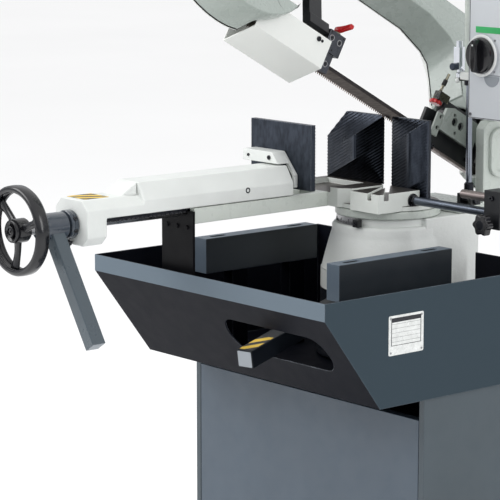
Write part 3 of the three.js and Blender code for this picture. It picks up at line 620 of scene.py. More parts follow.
def make_tray():
    dress(["chip_tray"], TRAY, 0.9)
    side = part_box("chip_tray")[1].x / MM
    plate_low, plate_high = Vector((side, -316, 655)) * MM, Vector((side + 0.6, -229, 728)) * MM
    plate = prism(rounded(-316, -229, 655, 728, 3), "YZ", side, side + 0.6)
    piece("rating_plate", plate, "base", plate_finish(plate_low, plate_high), edge=0.1)
    rivets = [rod((side + 0.2, y, z), (side + 1.6, y, z), 2, 16) for y in (-311, -234) for z in (660, 723)]
    piece("plate_rivets", rivets, "base", STEEL, edge=0.3)
    dress(["left_rail", "right_rail"], RAIL, 1.2)


# ---------------------------------------------------------------- base casting and table
def make_base():
    dress(["base_casting"], BASE, 2.4, 40)
    dress(["swivel_post"], STEEL, 0.4)
    dress(["angle_scale"], STEEL, 0.3)
    dress(["mitre_pointer"], BLACK, 0.5)
    marks = []
    for degrees in range(-168, -78, 3):
        tall = 9 if degrees % 15 == 12 else 5
        mark = block(100.2, 101.5, -0.4, 0.4, 832, 832 + tall)
        marks.append(moved(mark, Matrix.Rotation(math.radians(degrees), 4, "Z")))
    piece("scale_marks", marks, "swivel", BLACK, edge=0)
    piece("pointer_screw", screw((27.5, -113, 838), (0, -1, 0), 4.5, 2.5), "base", BLACK_STEEL,
          edge=0.2)


def groove_block(outline, low, high, facing):
    """A plate in the XZ plane whose one face is cut with slanting V grooves."""
    pitch, slope, depth = JAW_GROOVES
    plate = prism(outline, "XZ", low, high)
    front, sign = (low, 1) if facing < 0 else (high, -1)
    middle = Vector((sum(u for u, v in outline), 0, sum(v for u, v in outline))) / len(outline)
    count = int(170 / pitch)
    ridge = []
    for i in range(-count, count):
        ridge += [(i * pitch, 0.0), (i * pitch + pitch / 2, depth)]
    comb = [(-count * pitch, -6)] + ridge + [(count * pitch, 0.0), (count * pitch, -6)]
    tool = prism([(u, front + sign * w) for u, w in comb], "XY", -220, 220)
    turn = Matrix.Translation(middle) @ Matrix.Rotation(math.radians(-slope), 4, "Y") \
        @ Matrix.Rotation(math.radians(90), 4, "Y")
    return cut(plate, moved(tool, turn))


def make_table():
    dress(["bed_plate", "table_block"], TABLE, 1.0)
    left = [(-179, 900.3), (-9.3, 900.3), (-9.3, 1036), (-122, 1036), (-179, 982)]
    right = [(9, 874), (108, 874), (108, 1036), (9, 1036)]
    bevel = prism([(-9.3, -1), (-32, 12), (5, 12), (5, -1)], "XY", 890, 1040)
    left_jaw = cut(groove_block(left, 0, 11, -1), bevel)
    piece("fixed_jaw_left_plate", left_jaw, "base", JAW, edge=0, stands_for=["fixed_jaw_left"])
    right_jaw = groove_block(right, 0, 11, -1)
    piece("fixed_jaw_right_plate", right_jaw, "base", JAW, edge=0,
          stands_for=["fixed_jaw_right"])
    screws = [screw((x, 11, z), (0, 1, 0), 6, 6) for x in (-140, -60, 40, 84) for z in (930, 990)]
    piece("jaw_screws", screws, "base", BLACK_STEEL, edge=0.2)


# ---------------------------------------------------------------- vice
def make_vice():
    dress(["vice_beam"], BEAM_GREY, 1.4)
    dress(["beam_end_plate"], END_BLACK, 0.6)
    dress(["screw_nut", "vice_screw"], STEEL, 0.3)
    dress(["vice_rack"], BLACK_STEEL, 0.3)
    dress(["vice_carriage"], WHITE, 2.2, 20)
    dress(["jaw_bracket"], WHITE, 1.4)
    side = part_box("vice_carriage")[1].x / MM
    piece("carriage_plug", [tube((side - 6, -312, 912), (side + 0.6, -312, 912), 5.5, 3.2, 32),
                            rod((side - 6, -312, 912), (side - 1.5, -312, 912), 3.6, 6)],
          "carriage", BLACK_STEEL, edge=0.2)
    screws = [screw((x, -216, 962), (0, -1, 0), radius, height) for x, radius,
              height in ((-108, 4.4, 2.5), (-170, 3, 2))]
    piece("bracket_screws", screws, "jaw", BLACK_STEEL, edge=0.2)
    film = prism([(-140, -676), (-84, -676), (-84, -622), (-140, -622)], "XY", 926, 926.5)
    piece("carriage_stripes", film, "carriage", STRIPES, edge=0)
    jaw = [(-202, 901), (-24, 901), (-24, 1029), (-202, 1029)]
    plate = groove_block(jaw, -182, -170, 1)
    piece("moving_jaw_plate", plate, "jaw", JAW, edge=0.5, angle=70, stands_for=["moving_jaw"])
    collar = turned([(12, 0), (25.5, 0), (27, 1.5), (27, 6), (25.6, 6.8), (27, 7.6), (27, 14), (25.5, 15.6),
                     (12, 15.6)],
                    (-108, -706, 880), (0, 1, 0), 64)
    piece("screw_collar_ring", collar, "carriage", HAMMERED, edge=0.2,
          stands_for=["screw_collar"])
    bolts = [screw((-108 + 26.6 * math.cos(math.radians(t)), -698, 880 + 26.6 * math.sin(math.radians(t))),
                   (math.cos(math.radians(t)), 0, math.sin(math.radians(t))), 4, 2) for t in (-20, 30)]
    piece("collar_screws", bolts, "carriage", BLACK_STEEL, edge=0.2)
    piece("collar_bolt", [rod((-108, -698, 852), (-108, -698, 836), 4, 20)]
          + hex_bolt((-108, -698, 849), (0, 0, -1), 7, 7), "carriage", BLACK_STEEL, edge=0.3)
    sleeve = turned([(12.3, 0), (23, 0), (25, 2), (25, 51), (23, 53), (12.3, 53)], (-108, -762, 880),
                    (0, 1, 0), 64)
    piece("clamp_lever_sleeve", sleeve, "clamp", HAMMERED, edge=0)
    bar = prism(rounded(-14, 14, -748, -720, 2.5), "XY", -239.5, -20)
    hang = Matrix.Translation((-108, 0, 880)) @ Matrix.Rotation(math.radians(-33), 4, "Y")
    bar = moved(bar, hang)
    piece("clamp_lever_bar", bar, "clamp", LEVER_PAINT, edge=0.6, stands_for=["clamp_lever"])
    cap = prism(rounded(-12.5, 12.5, -746.5, -721.5, 2), "XY", -240, -239)
    cap = moved(cap, hang)
    piece("clamp_lever_end", cap, "clamp", PANEL_DARK, edge=0.2)


def make_handwheel():
    place = Matrix.Translation(Vector((-108, -807, 880)) * MM) @ Matrix.Rotation(math.radians(90), 4, "X")
    section = [(70.5, -6), (69, -10), (72, -13), (78, -13.4), (81.4, -9), (82, 0), (81.4, 9), (78, 13.4),
               (72, 13),
               (69, 10), (70.5, 6), (73.5, 3), (73.5, -3)]
    rim = turned(section, sides=96)
    spokes = []
    for degrees in (20, 140, 260):
        rings = []
        for i in range(9):
            share = i / 8
            reach = 12 + 62 * share
            wide = 10.5 - 3.5 * math.sin(math.pi * share) + 3 * share ** 3
            dish = -3 * math.sin(math.pi * share)
            thick = 6.5 - 1.5 * share
            rings.append([(reach, wide * math.cos(t),
                           dish + thick * math.sin(t) * (0.85 if math.sin(t) > 0 else 1))
                          for t in (math.tau * k / 16 for k in range(16))])
        spokes.append(moved(loft(rings), Matrix.Rotation(math.radians(degrees), 4, "Z")))
    hub = turned([(11.4, -16), (20, -16), (22, -13), (22, 8), (20.5, 15), (17.5, 17.5), (17.5, 14),
                  (11.5, 14), (11.4, 6)],
                 sides=64)
    cap = turned([(0, 8), (11.2, 8), (11.2, 15), (10, 18.5), (6.2, 20), (5.6, 14), (0, 14)], sides=48)
    piece("handwheel_rim", [rim, *spokes, hub], "vice_wheel", PLASTIC, place, 0,
          stands_for=["handwheel"])
    piece("handwheel_cap", cap, "vice_wheel", KNOB_PLASTIC, place, 0.4)
    piece("handwheel_bolt", screw((0, 0, 12), (0, 0, 1), 5, 5), "vice_wheel", STEEL, place, 0.2)
    angle = math.radians(200)
    pivot = (66 * math.cos(angle), 66 * math.sin(angle), 0)
    lug = [rod((pivot[0], pivot[1], 6), (pivot[0], pivot[1], 17.6), 9.5, 32)]
    piece("grip_lug", lug, "vice_wheel", PLASTIC, place, 0.8)
    grip_profile = [(0, 0.4), (8.6, 0.4), (9.4, 3), (10.6, 12), (12.6, 24), (13, 34), (12.6, 48), (11.6, 58),
                    (9, 64.5),
                    (5, 67.3), (0, 68)]
    grip = turned(grip_profile, (pivot[0], pivot[1], 18), (0, 0, 1), 48)
    piece("crank_grip_body", grip, "crank", PLASTIC, place, 0, stands_for=["crank_grip"])
    nut = screw((pivot[0], pivot[1], 84.4), (0, 0, 1), 3.8, 1.5)
    piece("crank_grip_screw", nut, "crank", STEEL, place, 0.1)


# ---------------------------------------------------------------- mitre lever and length stop
def make_mitre_lever():
    dress(["mitre_lever"], BAR_PAINTED_SHADE, 1.6)
    hub_z = 633 + 475 * math.tan(math.radians(10))
    place = Matrix.Translation(Vector((0, 0, hub_z)) * MM) @ Matrix.Rotation(math.radians(13.5), 4, "Z") \
        @ Matrix.Rotation(math.radians(10), 4, "X")
    end = -475 / math.cos(math.radians(10))
    cap = prism(rounded(-15, 15, -15, 15, 2), "XZ", end - 0.6, end + 0.5)
    piece("mitre_lever_end", cap, "mitre_lock", PANEL_DARK, place, 0.2)
    film = block(-14, 14, end + 6, end + 74, 16.9, 17.4)
    piece("mitre_lever_stripes", film, "mitre_lock", STRIPES, place, 0)


def star_knob(centre, axis, radius, low, high, lobes=6):
    """A knob with round lobes, domed on top."""
    place = pointing(centre, axis)
    steps = lobes * 12
    rings = []
    for level, size in ((low, 0.9), (low + 1.5, 1.0), (high - 3, 1.0), (high - 0.8, 0.92), (high, 0.8)):
        ring = []
        for i in range(steps):
            angle = math.tau * i / steps
            reach = radius * size * (1 + 0.11 * math.cos(lobes * angle))
            ring.append(place @ Vector((reach * math.cos(angle), reach * math.sin(angle), level)))
        rings.append(ring)
    return loft(rings)


def make_length_stop():
    def bar(y, z, x0, x1):
        length = x1 - x0
        profile = [(0, 0), (7.3, 0), (8.5, 1.2), (8.5, length - 1.2), (7.3, length), (0, length)]
        return turned(profile, (x0, y, z), (1, 0, 0), 40)

    piece("stop_rod_bar", bar(-20, 882, 100.5, 430), "base", DARK_STEEL, edge=0,
          stands_for=["stop_rod"])
    piece("stop_rod_nut", hex_bolt((90.4, -20, 882), (1, 0, 0), 10.4, 9), "base", BLACK_STEEL,
          edge=0.4)
    piece("stop_pin_bar", bar(-30, 912, 235, 351), "stop_slider", BROWN_STEEL, edge=0,
          stands_for=["stop_pin"])
    dress(["stop_clamp"], BLACK, 1.2)
    knob = star_knob((322, -56, 866), (0, -1, 0), 19, 0, 16)
    piece("stop_knob_star", [knob, rod((322, -57, 866), (322, -44.4, 866), 5, 24)], "stop_screw",
          KNOB_PLASTIC,
          edge=0.3, stands_for=["stop_knob"])
    piece("stop_knob_cap", turned([(0, -1), (9.6, -1), (9.6, 0), (9, 0.5), (0, 0.5)], (322, -72, 866),
                                  (0, -1, 0), 40),
          "stop_screw", BLACK_STEEL, edge=0)
    piece("stop_clamp_screw", screw((325, -44, 914), (0, -1, 0), 5, 4), "stop_slider", BLACK_STEEL,
          edge=0.2)


# ---------------------------------------------------------------- swivelling column and controls
def make_column():
    dress(["turntable"], GREY, 2.2, 40)
    dress(["hinge_shaft"], STEEL, 0.5)
    dress(["cylinder_clevis"], BLACK, 0.8)
    side = 105
    boss = prism(rounded(174, 308, 910, 1008, 24, 10), "YZ", side - 1, side + 8)
    inner = prism(rounded(186, 296, 922, 996, 14, 10), "YZ", side + 1, side + 12)
    piece("column_panel", cut(boss, inner), "swivel", GREY, edge=2.4, angle=50)
    cap = turned([(0, 0), (24, 0), (24, 5), (20, 8), (0, 8)], (side + 6, HINGE.y, HINGE.z), (1, 0, 0), 48)
    piece("hinge_cap", cap, "swivel", BLACK_STEEL, edge=0.6)
    piece("hinge_cap_screw", screw((side + 14, HINGE.y, HINGE.z), (1, 0, 0), 6, 4), "swivel", STEEL,
          edge=0.2)


def make_controls():
    dress(["control_box"], PANEL_GREY, 1.6)
    face = 75
    x, z = 182, 1163
    stop_x, stop_z = 275, 1195
    ring = turned([(34.4, 0), (40.4, 0), (40.4, 1), (39, 1.8), (35.2, 1.8), (34.4, 1)], (x, 70.2, z),
                  (0, -1, 0), 96)
    piece("switch_bezel", ring, "swivel", WHITE_PLASTIC, edge=0.2)
    skirt = turned([(0, 0), (33, 0), (34, 1), (34, 8), (32.5, 10.5), (28, 11.6), (0, 11.6)], (x, 69.6, z),
                   (0, -1, 0), 96)
    grip = []
    for level, wide, tall in ((9, 9, 32), (19, 8.6, 31.5), (24.5, 7.4, 30), (25.6, 5.5, 28)):
        ring = []
        for i in range(32):
            angle = math.tau * i / 32
            c, s = math.cos(angle), math.sin(angle)
            ring.append((x + wide * math.copysign(abs(c) ** 0.6, c), 69.6 - level,
                         z + tall * math.copysign(abs(s) ** 0.8, s)))
        grip.append(ring)
    piece("switch_knob", [skirt, loft(grip)], "main_switch", KNOB_PLASTIC, edge=0.4,
          stands_for=["rotary_knob"])
    dot = rod((x, 44.4, z + 21), (x, 43.6, z + 21), 1.8, 16)
    piece("switch_dot", dot, "main_switch", WHITE_PLASTIC, edge=0)
    piece("panel_strip", block(161, 250, face - 0.6, face, 1206, 1218), "swivel", GREEN,
          edge=0.1)
    half = [(205 + 20 * math.cos(math.radians(-t)), 1124 + 20 * math.sin(math.radians(-t)))
            for t in range(0, 181, 6)]
    piece("panel_dial", prism(half, "XZ", face - 1, face), "swivel", PANEL_DARK, edge=0.3)
    # A thin grey line across the panel, as painted shade under a plate's lower edge.
    piece("panel_shade_line", block(160, 322, face - 0.6, face, 1125, 1127), "swivel", PANEL_DARK,
          edge=0.1)
    panel_screws = [screw((px, face, pz), (0, -1, 0), 3.4, 1.6) for px in (149.5, 323)
                    for pz in (1048, 1165, 1282)]
    panel_screws += [screw((x + 42 * c, face, z + 42 * s), (0, -1, 0), 2.2, 1.2) for c in (-0.67, 0.71)
                     for s in (-0.71, 0.71)]
    piece("panel_screws", panel_screws, "swivel", STEEL, edge=0.2)
    seam = cut(block(144.5, 328, face - 0.4, face + 1, 1041.5, 1288),
               block(145.5, 327, face - 2, face + 3, 1042.5, 1287))
    piece("panel_seam", seam, "swivel", RUBBER, edge=0)
    mushroom = turned([(0, 0), (9, 0), (9, 9.6), (19, 10), (20, 12), (20, 19), (18, 24.5), (12, 27.4),
                       (0, 28)],
                      (stop_x, 70.6, stop_z), (0, -1, 0), 64)
    piece("stop_button_head", mushroom, "stop_switch", RED, edge=0, stands_for=["stop_button"])
    collar = tube((stop_x, face, stop_z), (stop_x, face - 3, stop_z), 17, 12.6, 48)
    piece("stop_button_collar", collar, "swivel", BLACK, edge=0.5)
    lamp = turned([(0, 0), (8, 0), (8, 3), (6, 5.4), (0, 6.4)], (275, face, 1112), (0, -1, 0), 40)
    piece("power_lamp", lamp, "swivel", WHITE_PLASTIC, edge=0.3)
    piece("panel_gland", [rod((300, 150, 1041), (300, 150, 1026), 12, 6),
                          rod((300, 150, 1028), (300, 150, 1020), 9, 24)],
          "swivel", PLASTIC, edge=0.6)


def make_cylinder():
    foot = Vector((100, 125, 869))
    head = Vector((100, 118, 1322))
    length = (head - foot).length
    up = (head - foot).normalized()

    def at(distance):
        return foot + up * distance

    rod_profile = [(0, 36), (6.2, 36), (6.2, 250), (0, 250)]
    fork = cut(turned([(0, 8), (8.6, 8), (9.5, 12), (9.5, 33), (6.6, 36.5), (0, 36.5)], foot, up, 48),
               rod(foot - Vector((15, 0, 0)), foot + Vector((15, 0, 0)), 5.2, 24))
    piece("lift_rod_bar", turned(rod_profile, foot, up, 48), "cylinder_rod", ROD_CHROME, edge=0,
          stands_for=["lift_rod"])
    piece("lift_rod_eye", fork, "cylinder_rod", BLACK_STEEL, edge=0.5)
    barrel = turned([(6.8, 238), (8.4, 238), (9, 240), (9, length - 41), (11, length - 39), (11, length - 19),
                     (9.4, length - 17), (6.8, length - 17)], foot, up, 64)
    block_at = at(246)
    head_block = cut(block(87, 113, block_at.y - 13, block_at.y + 13, 1108, 1123),
                     rod(at(225), at(270), 7, 32))
    piece("lift_cylinder_barrel", barrel, "cylinder_barrel", GREY, edge=0.3,
          stands_for=["lift_cylinder"])
    piece("lift_cylinder_block", head_block, "cylinder_barrel", SHEET_WHITE, edge=1.0)
    piece("lift_cylinder_gland", turned([(6.6, 228), (9, 228), (10, 229), (10, 238), (6.6, 238)], foot, up,
                                        48),
          "cylinder_barrel", BLACK_STEEL, edge=0.3)
    valve = at(262) + Vector((-24, -4, 0))
    body = [block(valve.x - 8, valve.x + 8, valve.y - 8, valve.y + 8, valve.z - 4, valve.z + 40),
            rod(valve + Vector((6, 0, -1)), valve + Vector((24, 4, -12)), 4.5, 24),
            rod(valve + Vector((0, 0, 38)), valve + Vector((0, 0, 52)), 6.5, 6),
            turned([(0, -22), (4.6, -22), (6, -20), (6, -12), (4, -10), (4, -3), (0, -3)], valve, up, 32)]
    piece("flow_valve_body", body, "cylinder_barrel", CHROME, edge=0.6)
    knob = turned([(0, 0), (6, 0), (7.4, 1.4), (7.4, 12), (6, 14), (0, 14)], valve + Vector((1, -8, 2)),
                  (0, -1, 0), 20)
    piece("flow_valve_knob", knob, "cylinder_barrel", SWITCH_BLUE, edge=0.4, angle=25)
    ring = tube(valve + Vector((3, 0, -26)), valve + Vector((3, 0, -21)), 9, 4.7, 40)
    piece("flow_valve_ring", ring, "cylinder_barrel", RUBBER, edge=0.8)
    ball = turned([(5 * math.sin(math.radians(t)), -5 * math.cos(math.radians(t)))
                   for t in range(0, 181, 15)],
                  valve + Vector((3, -7, -25)), up, 32)
    piece("flow_valve_ball", ball, "cylinder_barrel", WHITE_PLASTIC, edge=0)
    clevis_bolts = [screw((100 + s * 19, 125, 869), (s, 0, 0), 6.5, 4) for s in (-1, 1)]
    piece("clevis_bolts", clevis_bolts, "swivel", BLACK_STEEL, edge=0.3)


# ---------------------------------------------------------------- bow and band
def at_bow(x0, x1, d0, d1, n0, n1):
    """A block in the bow's frame, by its distance along the blade and its height over the blade's line."""
    return block(x0, x1, -d1, -d0, BLADE_LINE + n0, BLADE_LINE + n1)


def bow_point(x, along, over):
    return Vector((x, -along, BLADE_LINE + over))


def housing_outline(inset, low, high):
    """The outline of the wheel housings and the beam between them, in the band's frame."""
    size = HOUSING_RADIUS - inset
    rear, front = WHEELS
    wheels = [rod((low, -along, WHEEL_RADIUS), (high, -along, WHEEL_RADIUS), size, 96) for along in WHEELS]
    beam = block(low, high, -front, -rear, 250 + inset, WHEEL_RADIUS + size)
    corner = prism([(inset - 103, 100), (inset - 108, 170), (inset - 114, 208), (inset - 135, 228 + inset),
                    (inset - 198, 250 + inset), (-285, 250 + inset), (-285, 280), (60, 280), (60, 100)], "YZ",
                    low, high)
    return join(wheels[0], wheels[1], beam, corner)


def make_bow():
    dress(["bow_frame"], BOW_SHADED_ENAMEL, 2.5, 40, flatten=False)
    seam = cut(housing_outline(-0.5, -18.6, -17.2), housing_outline(8, -20, -16))
    ways = [at_bow(-70, 40, -10, 210, -24, 94), at_bow(-70, 40, 560, 690, -45, 114)]
    seam = cut(seam, *(moved(way, BAND_OF_BOW) for way in ways))
    piece("cover_gasket", seam, "bow", RUBBER, BAND, 0)
    dress(["blade_cover"], SHEET_WHITE, 1.6, 40, flatten=False)
    dress(["gearbox"], GREY, 1.2, 40)
    dress(["tension_bracket"], BLACK, 0.8)
    dress(["cylinder_bracket"], SHEET_WHITE, 1.0)
    dress(["drive_wheel", "idle_wheel", "tension_slide"], STEEL, 0.6)
    dress(["idle_bearing"], CHROME, 0.3)


def make_motor():
    centre = (0, -WHEELS[0], WHEEL_RADIUS)
    start = 122.6
    shell = turned([(0, 0), (72, 0), (72, 8), (70, 10), (56, 12), (56, 168), (0, 168)],
                   (start, centre[1], centre[2]),
                   (1, 0, 0), 72)
    fins = []
    for i in range(36):
        angle = math.tau * i / 36
        fin = block(start + 12, start + 166, -1.3, 1.3, 54, 61)
        turn = Matrix.Translation((0, centre[1], centre[2])) @ Matrix.Rotation(angle, 4, "X")
        fins.append(moved(fin, turn))
    piece("motor_body", [shell, *fins], "bow", SLATE, BAND, 0.5, stands_for=["motor"])
    cowl = turned([(0, 166), (64, 166), (66, 168), (66, 199), (60, 205), (0, 205)],
                  (start, centre[1], centre[2]),
                  (1, 0, 0), 72)
    holes = []
    for radius, count in ((14, 6), (27, 12), (40, 18), (53, 24)):
        for i in range(count):
            angle = math.tau * i / count
            y = centre[1] + radius * math.cos(angle)
            z = centre[2] + radius * math.sin(angle)
            holes.append(rod((start + 203, y, z), (start + 207, y, z), 3.6, 12))
    piece("motor_cowl", cut(cowl, *holes), "bow", BLACK, BAND, 0.4)
    box_y = centre[1]
    box = block(start + 60, start + 130, box_y - 34, box_y + 34, centre[2] + 54, centre[2] + 84)
    piece("motor_terminal_box", box, "bow", SLATE, BAND, 2)


def blade_point(distance):
    """Where the band is, by its length from the rear wheel's bottom: along, height, turn on a wheel, twist."""
    radius = WHEEL_RADIUS + 0.8
    straight = WHEELS[1] - WHEELS[0]
    half = math.pi * radius
    if distance < straight:
        along = WHEELS[0] + distance
        stations = [(-30, 0.05), (5, 0.25), (38, 0.5), (65, 0.75), (90, 0.95), (106, 1), (494, 1),
                    (520, 0.94),
                    (560, 0.76), (610, 0.5), (660, 0.24), (700, 0.06)]
        stations = [(WHEELS[0], 0)] + stations + [(WHEELS[1], 0)]
        for (a, low), (b, high) in zip(stations, stations[1:]):
            if a <= along <= b:
                twist = low + (high - low) * (along - a) / (b - a)
        return along, (WHEEL_RADIUS - radius) * (1 - twist), math.pi * 1.5, twist
    distance -= straight
    if distance < half:
        angle = -math.pi / 2 + distance / radius
        return WHEELS[1] + radius * math.cos(angle), WHEEL_RADIUS + radius * math.sin(angle), angle, 0
    distance -= half
    if distance < straight:
        return WHEELS[1] - distance, WHEEL_RADIUS + radius, math.pi / 2, 0
    distance -= straight
    angle = math.pi / 2 + distance / radius
    return WHEELS[0] + radius * math.cos(angle), WHEEL_RADIUS + radius * math.sin(angle), angle, 0


def make_blade():
    """The band in one closed ribbon, with a raked tooth every few millimetres along its lower edge."""
    radius = WHEEL_RADIUS + 0.8
    whole = 2 * (WHEELS[1] - WHEELS[0]) + 2 * math.pi * radius
    width, thick, depth = 27, 0.9, 4.2
    count = int(whole / 5.4)
    rings = []
    for i in range(count):
        for share, reach in ((0.0, 0.0), (0.12, 1.0), (0.24, 1.0), (0.6, 0.1)):
            along, height, normal, twist = blade_point((i + share) / count * whole)
            face = Vector((0, -math.cos(normal), math.sin(normal)))
            across = Vector((1, 0, 0))
            path = face.cross(across)
            turn = Matrix.Rotation(math.radians(90 - LEAN) * twist, 3, path)
            face, across = turn @ face, turn @ across
            middle = Vector((0, -along, height))
            tooth = -width / 2 + depth * (1 - reach)
            lines = (width / 2, width / 2 - 7, depth + 0.8 - width / 2, tooth)
            rings.append([middle + across * u + face * v for u, v in
                          [(u, -thick / 2) for u in lines] + [(u, thick / 2) for u in reversed(lines)]])
    corners = [point for ring in rings for point in ring]
    faces, finish = [], []
    for i in range(len(rings)):
        here, there = i * 8, (i + 1) % len(rings) * 8
        for k in range(8):
            m = (k + 1) % 8
            faces.append((here + k, here + m, there + m, there + k))
            finish.append({1: 0, 2: 0, 3: 1, 4: 0, 5: 0}.get(k, 2))
    form = bmesh.new()
    points = [form.verts.new(corner) for corner in corners]
    for face, index in zip(faces, finish):
        made = form.faces.new([points[i] for i in face])
        made.material_index = index
    bmesh.ops.recalc_face_normals(form, faces=form.faces)
    mesh = bpy.data.meshes.new("band_blade")
    form.to_mesh(mesh)
    form.free()
    mesh.transform(BAND @ Matrix.Scale(MM, 4))
    mesh.materials.append(BLADE)
    mesh.materials.append(TOOTH)
    mesh.materials.append(BLADE_BACK)
    obj = bpy.data.objects.new("band_blade", mesh)
    bpy.context.scene.collection.objects.link(obj)
    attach(obj, "bow")
    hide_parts("blade")


def make_rear_guide():
    dress(["rear_guide_plate"], BLACK, 0.8)
    face = prism([(-172, 14), (-172, 60), (-152, 68), (-68, 68), (-68, 14)], "YZ", 42, 50)
    face = moved(face, Matrix.Translation((0, 0, BLADE_LINE)))
    holes = ((140, 44, 8), (120, 43, 8), (146, 56, 3.2), (129, 25, 3.2))
    cutters = [rod(bow_point(38, d, n), bow_point(52, d, n), r, 32) for d, n, r in holes]
    flap = at_bow(42, 47, 170, 189, -2, 45)
    flap_holes = [rod(bow_point(40, 177, n), bow_point(50, 177, n), 4.2, 24) for n in (15, 38)]
    piece("rear_guide_body", cut(join(face, flap), *cutters, *flap_holes), "bow", GUIDE_GREY,
          BOW, 1.0,
          stands_for=["rear_guide_block"])
    piece("rear_guide_screws", [screw(bow_point(23, d, n), (1, 0, 0), 4.6, 4) for d,
                                n in ((48, 30), (48, 0), (180, -4), (150, -14))],
          "bow", BLACK_STEEL, BOW, 0.2)
    piece("rear_guide_bar", at_bow(15, 30, 30, 150, -22.4, -17), "bow", BROWN_STEEL, BOW, 0.8)
    pads = [at_bow(x0, x1, 112, 158, -12, 11) for x0, x1 in ((1.2, 6), (-6, -1.2))]
    piece("rear_guide_pads", pads, "bow", STEEL, BOW, 0.6)


def make_front_guide():
    dress(["front_guide_arm"], BLACK, 1.0)
    dress(["blade_guard"], SHEET_WHITE, 0.4)
    head = [at_bow(4, 18, 457, 500, 29, 72), at_bow(1, 12, 465, 489, -8, 30)]
    piece("front_guide_body", head, "front_guide", GUIDE_STEEL, BOW, 0.8,
          stands_for=["front_guide_block"])
    places = ((18, 491, 57), (18, 469, 56), (12, 478, 8))
    rings = [tube(bow_point(x - 0.5, d, n), bow_point(x + 1.2, d, n), 6.4, 4.4, 40) for x, d, n in places]
    piece("front_guide_rings", rings, "front_guide", STEEL, BOW, 0.3)
    sockets = [screw(bow_point(x - 0.4, d, n), (1, 0, 0), 4.3, 1.2) for x, d, n in places]
    piece("front_guide_screws", sockets, "front_guide", BLACK_STEEL, BOW, 0.1)
    dots = [rod(bow_point(17, d, n), bow_point(18.3, d, n), 2, 20) for d,
            n in ((496, 68), (462, 68), (480, 36))]
    piece("front_guide_holes", dots, "front_guide", RUBBER, BOW, 0)
    pads = at_bow(-4, -1.2, 462, 486, -4, 12)
    piece("front_guide_pads", pads, "front_guide", STEEL, BOW, 0.6)
    guard_screw = [rod(bow_point(20, 512, 40), bow_point(21.2, 512, 40), 3, 20),
                   rod(bow_point(20, 522, 40), bow_point(22.4, 522, 40), 5, 20)]
    piece("guard_screws", guard_screw, "front_guide", BLACK_STEEL, BOW, 0.3)


def make_taps():
    piece("front_tap_body", [rod(bow_point(12, 478, 71), bow_point(12, 478, 73.6), 7, 6),
                             rod(bow_point(12, 478, 71), bow_point(12, 478, 73.8), 5, 32)],
          "front_guide", BRASS, BOW, 0.2)
    rings = []
    for x, low, high, wide in ((6, 74, 84, 5.2), (10, 74, 85, 6), (18, 74.5, 86, 6), (30, 78.5, 89, 5),
                               (44, 83.5, 93, 5.6),
                               (46, 84.5, 92, 4.4)):
        middle, tall = (low + high) / 2, (high - low) / 2
        rings.append([bow_point(x, 478 + wide * math.copysign(abs(math.cos(t)) ** 0.6, math.cos(t)),
                                middle + tall * math.copysign(abs(math.sin(t)) ** 0.6, math.sin(t)))
                      for t in (math.tau * k / 24 for k in range(24))])
    piece("front_tap_handle", loft(rings), "front_valve", RED, BOW, 0,
          stands_for=["front_tap_lever"])
    body = [at_bow(6, 23, 150, 180, 74, 92), rod(bow_point(14.5, 158, 90), bow_point(14.5, 158, 93), 5, 24)]
    piece("rear_tap_body", body, "bow", BRASS, BOW, 1.2)
    knob = star_knob(bow_point(12, 173, 65), (0, 0, 1), 11.6, 0, 8.6, 8)
    piece("rear_tap_wheel", knob, "rear_valve", RED, BOW, 0.3, stands_for=["rear_tap_knob"])
    rise = [bow_point(16, 176, 90), bow_point(16, 174, 104), bow_point(16, 170, 132)]
    piece("rear_coolant_pipe", pipe(rise, 3), "bow", BRASS, BOW, 0)
    sleeve = tube(bow_point(16, 173.6, 106), bow_point(16, 172.4, 118), 4.6, 2.9, 32)
    piece("rear_pipe_sleeve", sleeve, "bow", RUBBER, BOW, 0.4)


def make_tension():
    depth = HOUSING_DEPTH
    hand_y = -WHEELS[1] - HOUSING_RADIUS - 30
    centre = (depth + 16, hand_y, WHEEL_RADIUS)
    lobes = star_knob(centre, (0, 1, 0), 41, -12, 12, 6)
    stem = rod((depth + 16, hand_y, WHEEL_RADIUS), (depth + 16, -WHEELS[1] - 61, WHEEL_RADIUS), 8, 32)
    piece("tension_wheel_star", lobes, "tension_wheel", PLASTIC, BAND, 0.6,
          stands_for=["tension_handwheel"])
    piece("tension_wheel_stem", stem, "tension_wheel", STEEL, BAND, 0.4)


def make_coolant():
    dress(["coolant_tank"], BLACK, 1.5)
    dress(["coolant_pump"], SLATE, 1.0)


def make_trim():
    """Screws round the edge of the band cover."""
    screws = []
    for along, height in ((-66, 306), (340, 306), (744, 306), (905, 145), (-227, 145), (-66, -16),
                          (744, -16)):
        screws.append(screw((-22, -along, height), (-1, 0, 0), 5, 3))
    piece("cover_screws", screws, "bow", STEEL, BAND, 0.2)


# ---------------------------------------------------------------- stage, light and camera
def make_stage():
    floor = bpy.data.meshes.new("floor")
    reach = 90
    floor.from_pydata([(-reach, -reach, -0.0005), (reach, -reach, -0.0005), (reach, reach, -0.0005),
                       (-reach, reach, -0.0005)], [], [(0, 1, 2, 3)])
    obj = bpy.data.objects.new("floor", floor)
    bpy.context.scene.collection.objects.link(obj)
    graph = Graph("floor")
    shade = graph.mix(graph.span(graph.noise(0.6, 2), 0, 1), (0.96, 0.96, 0.96, 1), (0.98, 0.98, 0.98, 1))
    graph.set(Base_Color=shade, Roughness=0.9)
    floor.materials.append(graph.material)


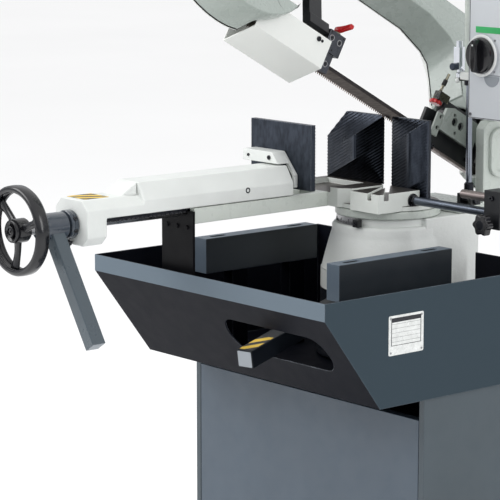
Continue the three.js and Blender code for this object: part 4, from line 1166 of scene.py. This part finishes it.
def area_light(name, place, target, size, power, colour=(1, 1, 1)):
    data = bpy.data.lights.new(name, "AREA")
    data.shape = "RECTANGLE"
    data.size, data.size_y = size
    data.energy = power
    data.color = colour
    obj = bpy.data.objects.new(name, data)
    obj.location = place
    obj.rotation_euler = (Vector(target) - Vector(place)).to_track_quat("-Z", "Y").to_euler()
    bpy.context.scene.collection.objects.link(obj)


def make_light():
    world = bpy.data.worlds.new("studio")
    bpy.context.scene.world = world
    world.use_nodes = True
    nodes, links = world.node_tree.nodes, world.node_tree.links
    shade = nodes["Background"]
    place = nodes.new("ShaderNodeTexCoord")
    split = nodes.new("ShaderNodeSeparateXYZ")
    ramp = nodes.new("ShaderNodeValToRGB")
    links.new(place.outputs["Generated"], split.inputs[0])
    links.new(split.outputs["Z"], ramp.inputs[0])
    links.new(ramp.outputs[0], shade.inputs[0])
    ramp.color_ramp.elements[0].color = (0.34, 0.36, 0.4, 1)
    ramp.color_ramp.elements[1].position = 0.6
    ramp.color_ramp.elements[1].color = (1, 1, 1, 1)
    shade.inputs[1].default_value = 1.05
    area_light("key", (-2.2, -3.2, 3.6), (0, 0, 0.9), (3.4, 2.6), 110)
    area_light("side", (3.4, 0.6, 2.2), (0, 0, 0.9), (0.8, 2.2), 26)


def make_camera():
    data = bpy.data.cameras.new("camera")
    data.lens = 168.1
    data.sensor_width = 36
    data.clip_end = 300
    camera = bpy.data.objects.new("camera", data)
    camera.location = (3.3042, -3.1482, 1.5488)
    turn, down = math.radians(49.8), math.radians(9.7)
    look = Vector((-math.sin(turn) * math.cos(down), math.cos(turn) * math.cos(down), -math.sin(down)))
    camera.rotation_euler = look.to_track_quat("-Z", "Y").to_euler()
    bpy.context.scene.collection.objects.link(camera)
    bpy.context.scene.camera = camera
    bpy.context.scene.view_settings.view_transform = "Standard"


make_camera()
make_light()
make_stage()
make_cabinet()
make_tray()
make_base()
make_table()
make_vice()
make_handwheel()
make_mitre_lever()
make_length_stop()
make_column()
make_controls()
make_cylinder()
make_bow()
make_motor()
make_blade()
make_rear_guide()
make_front_guide()
make_taps()
make_tension()
make_coolant()
make_trim()
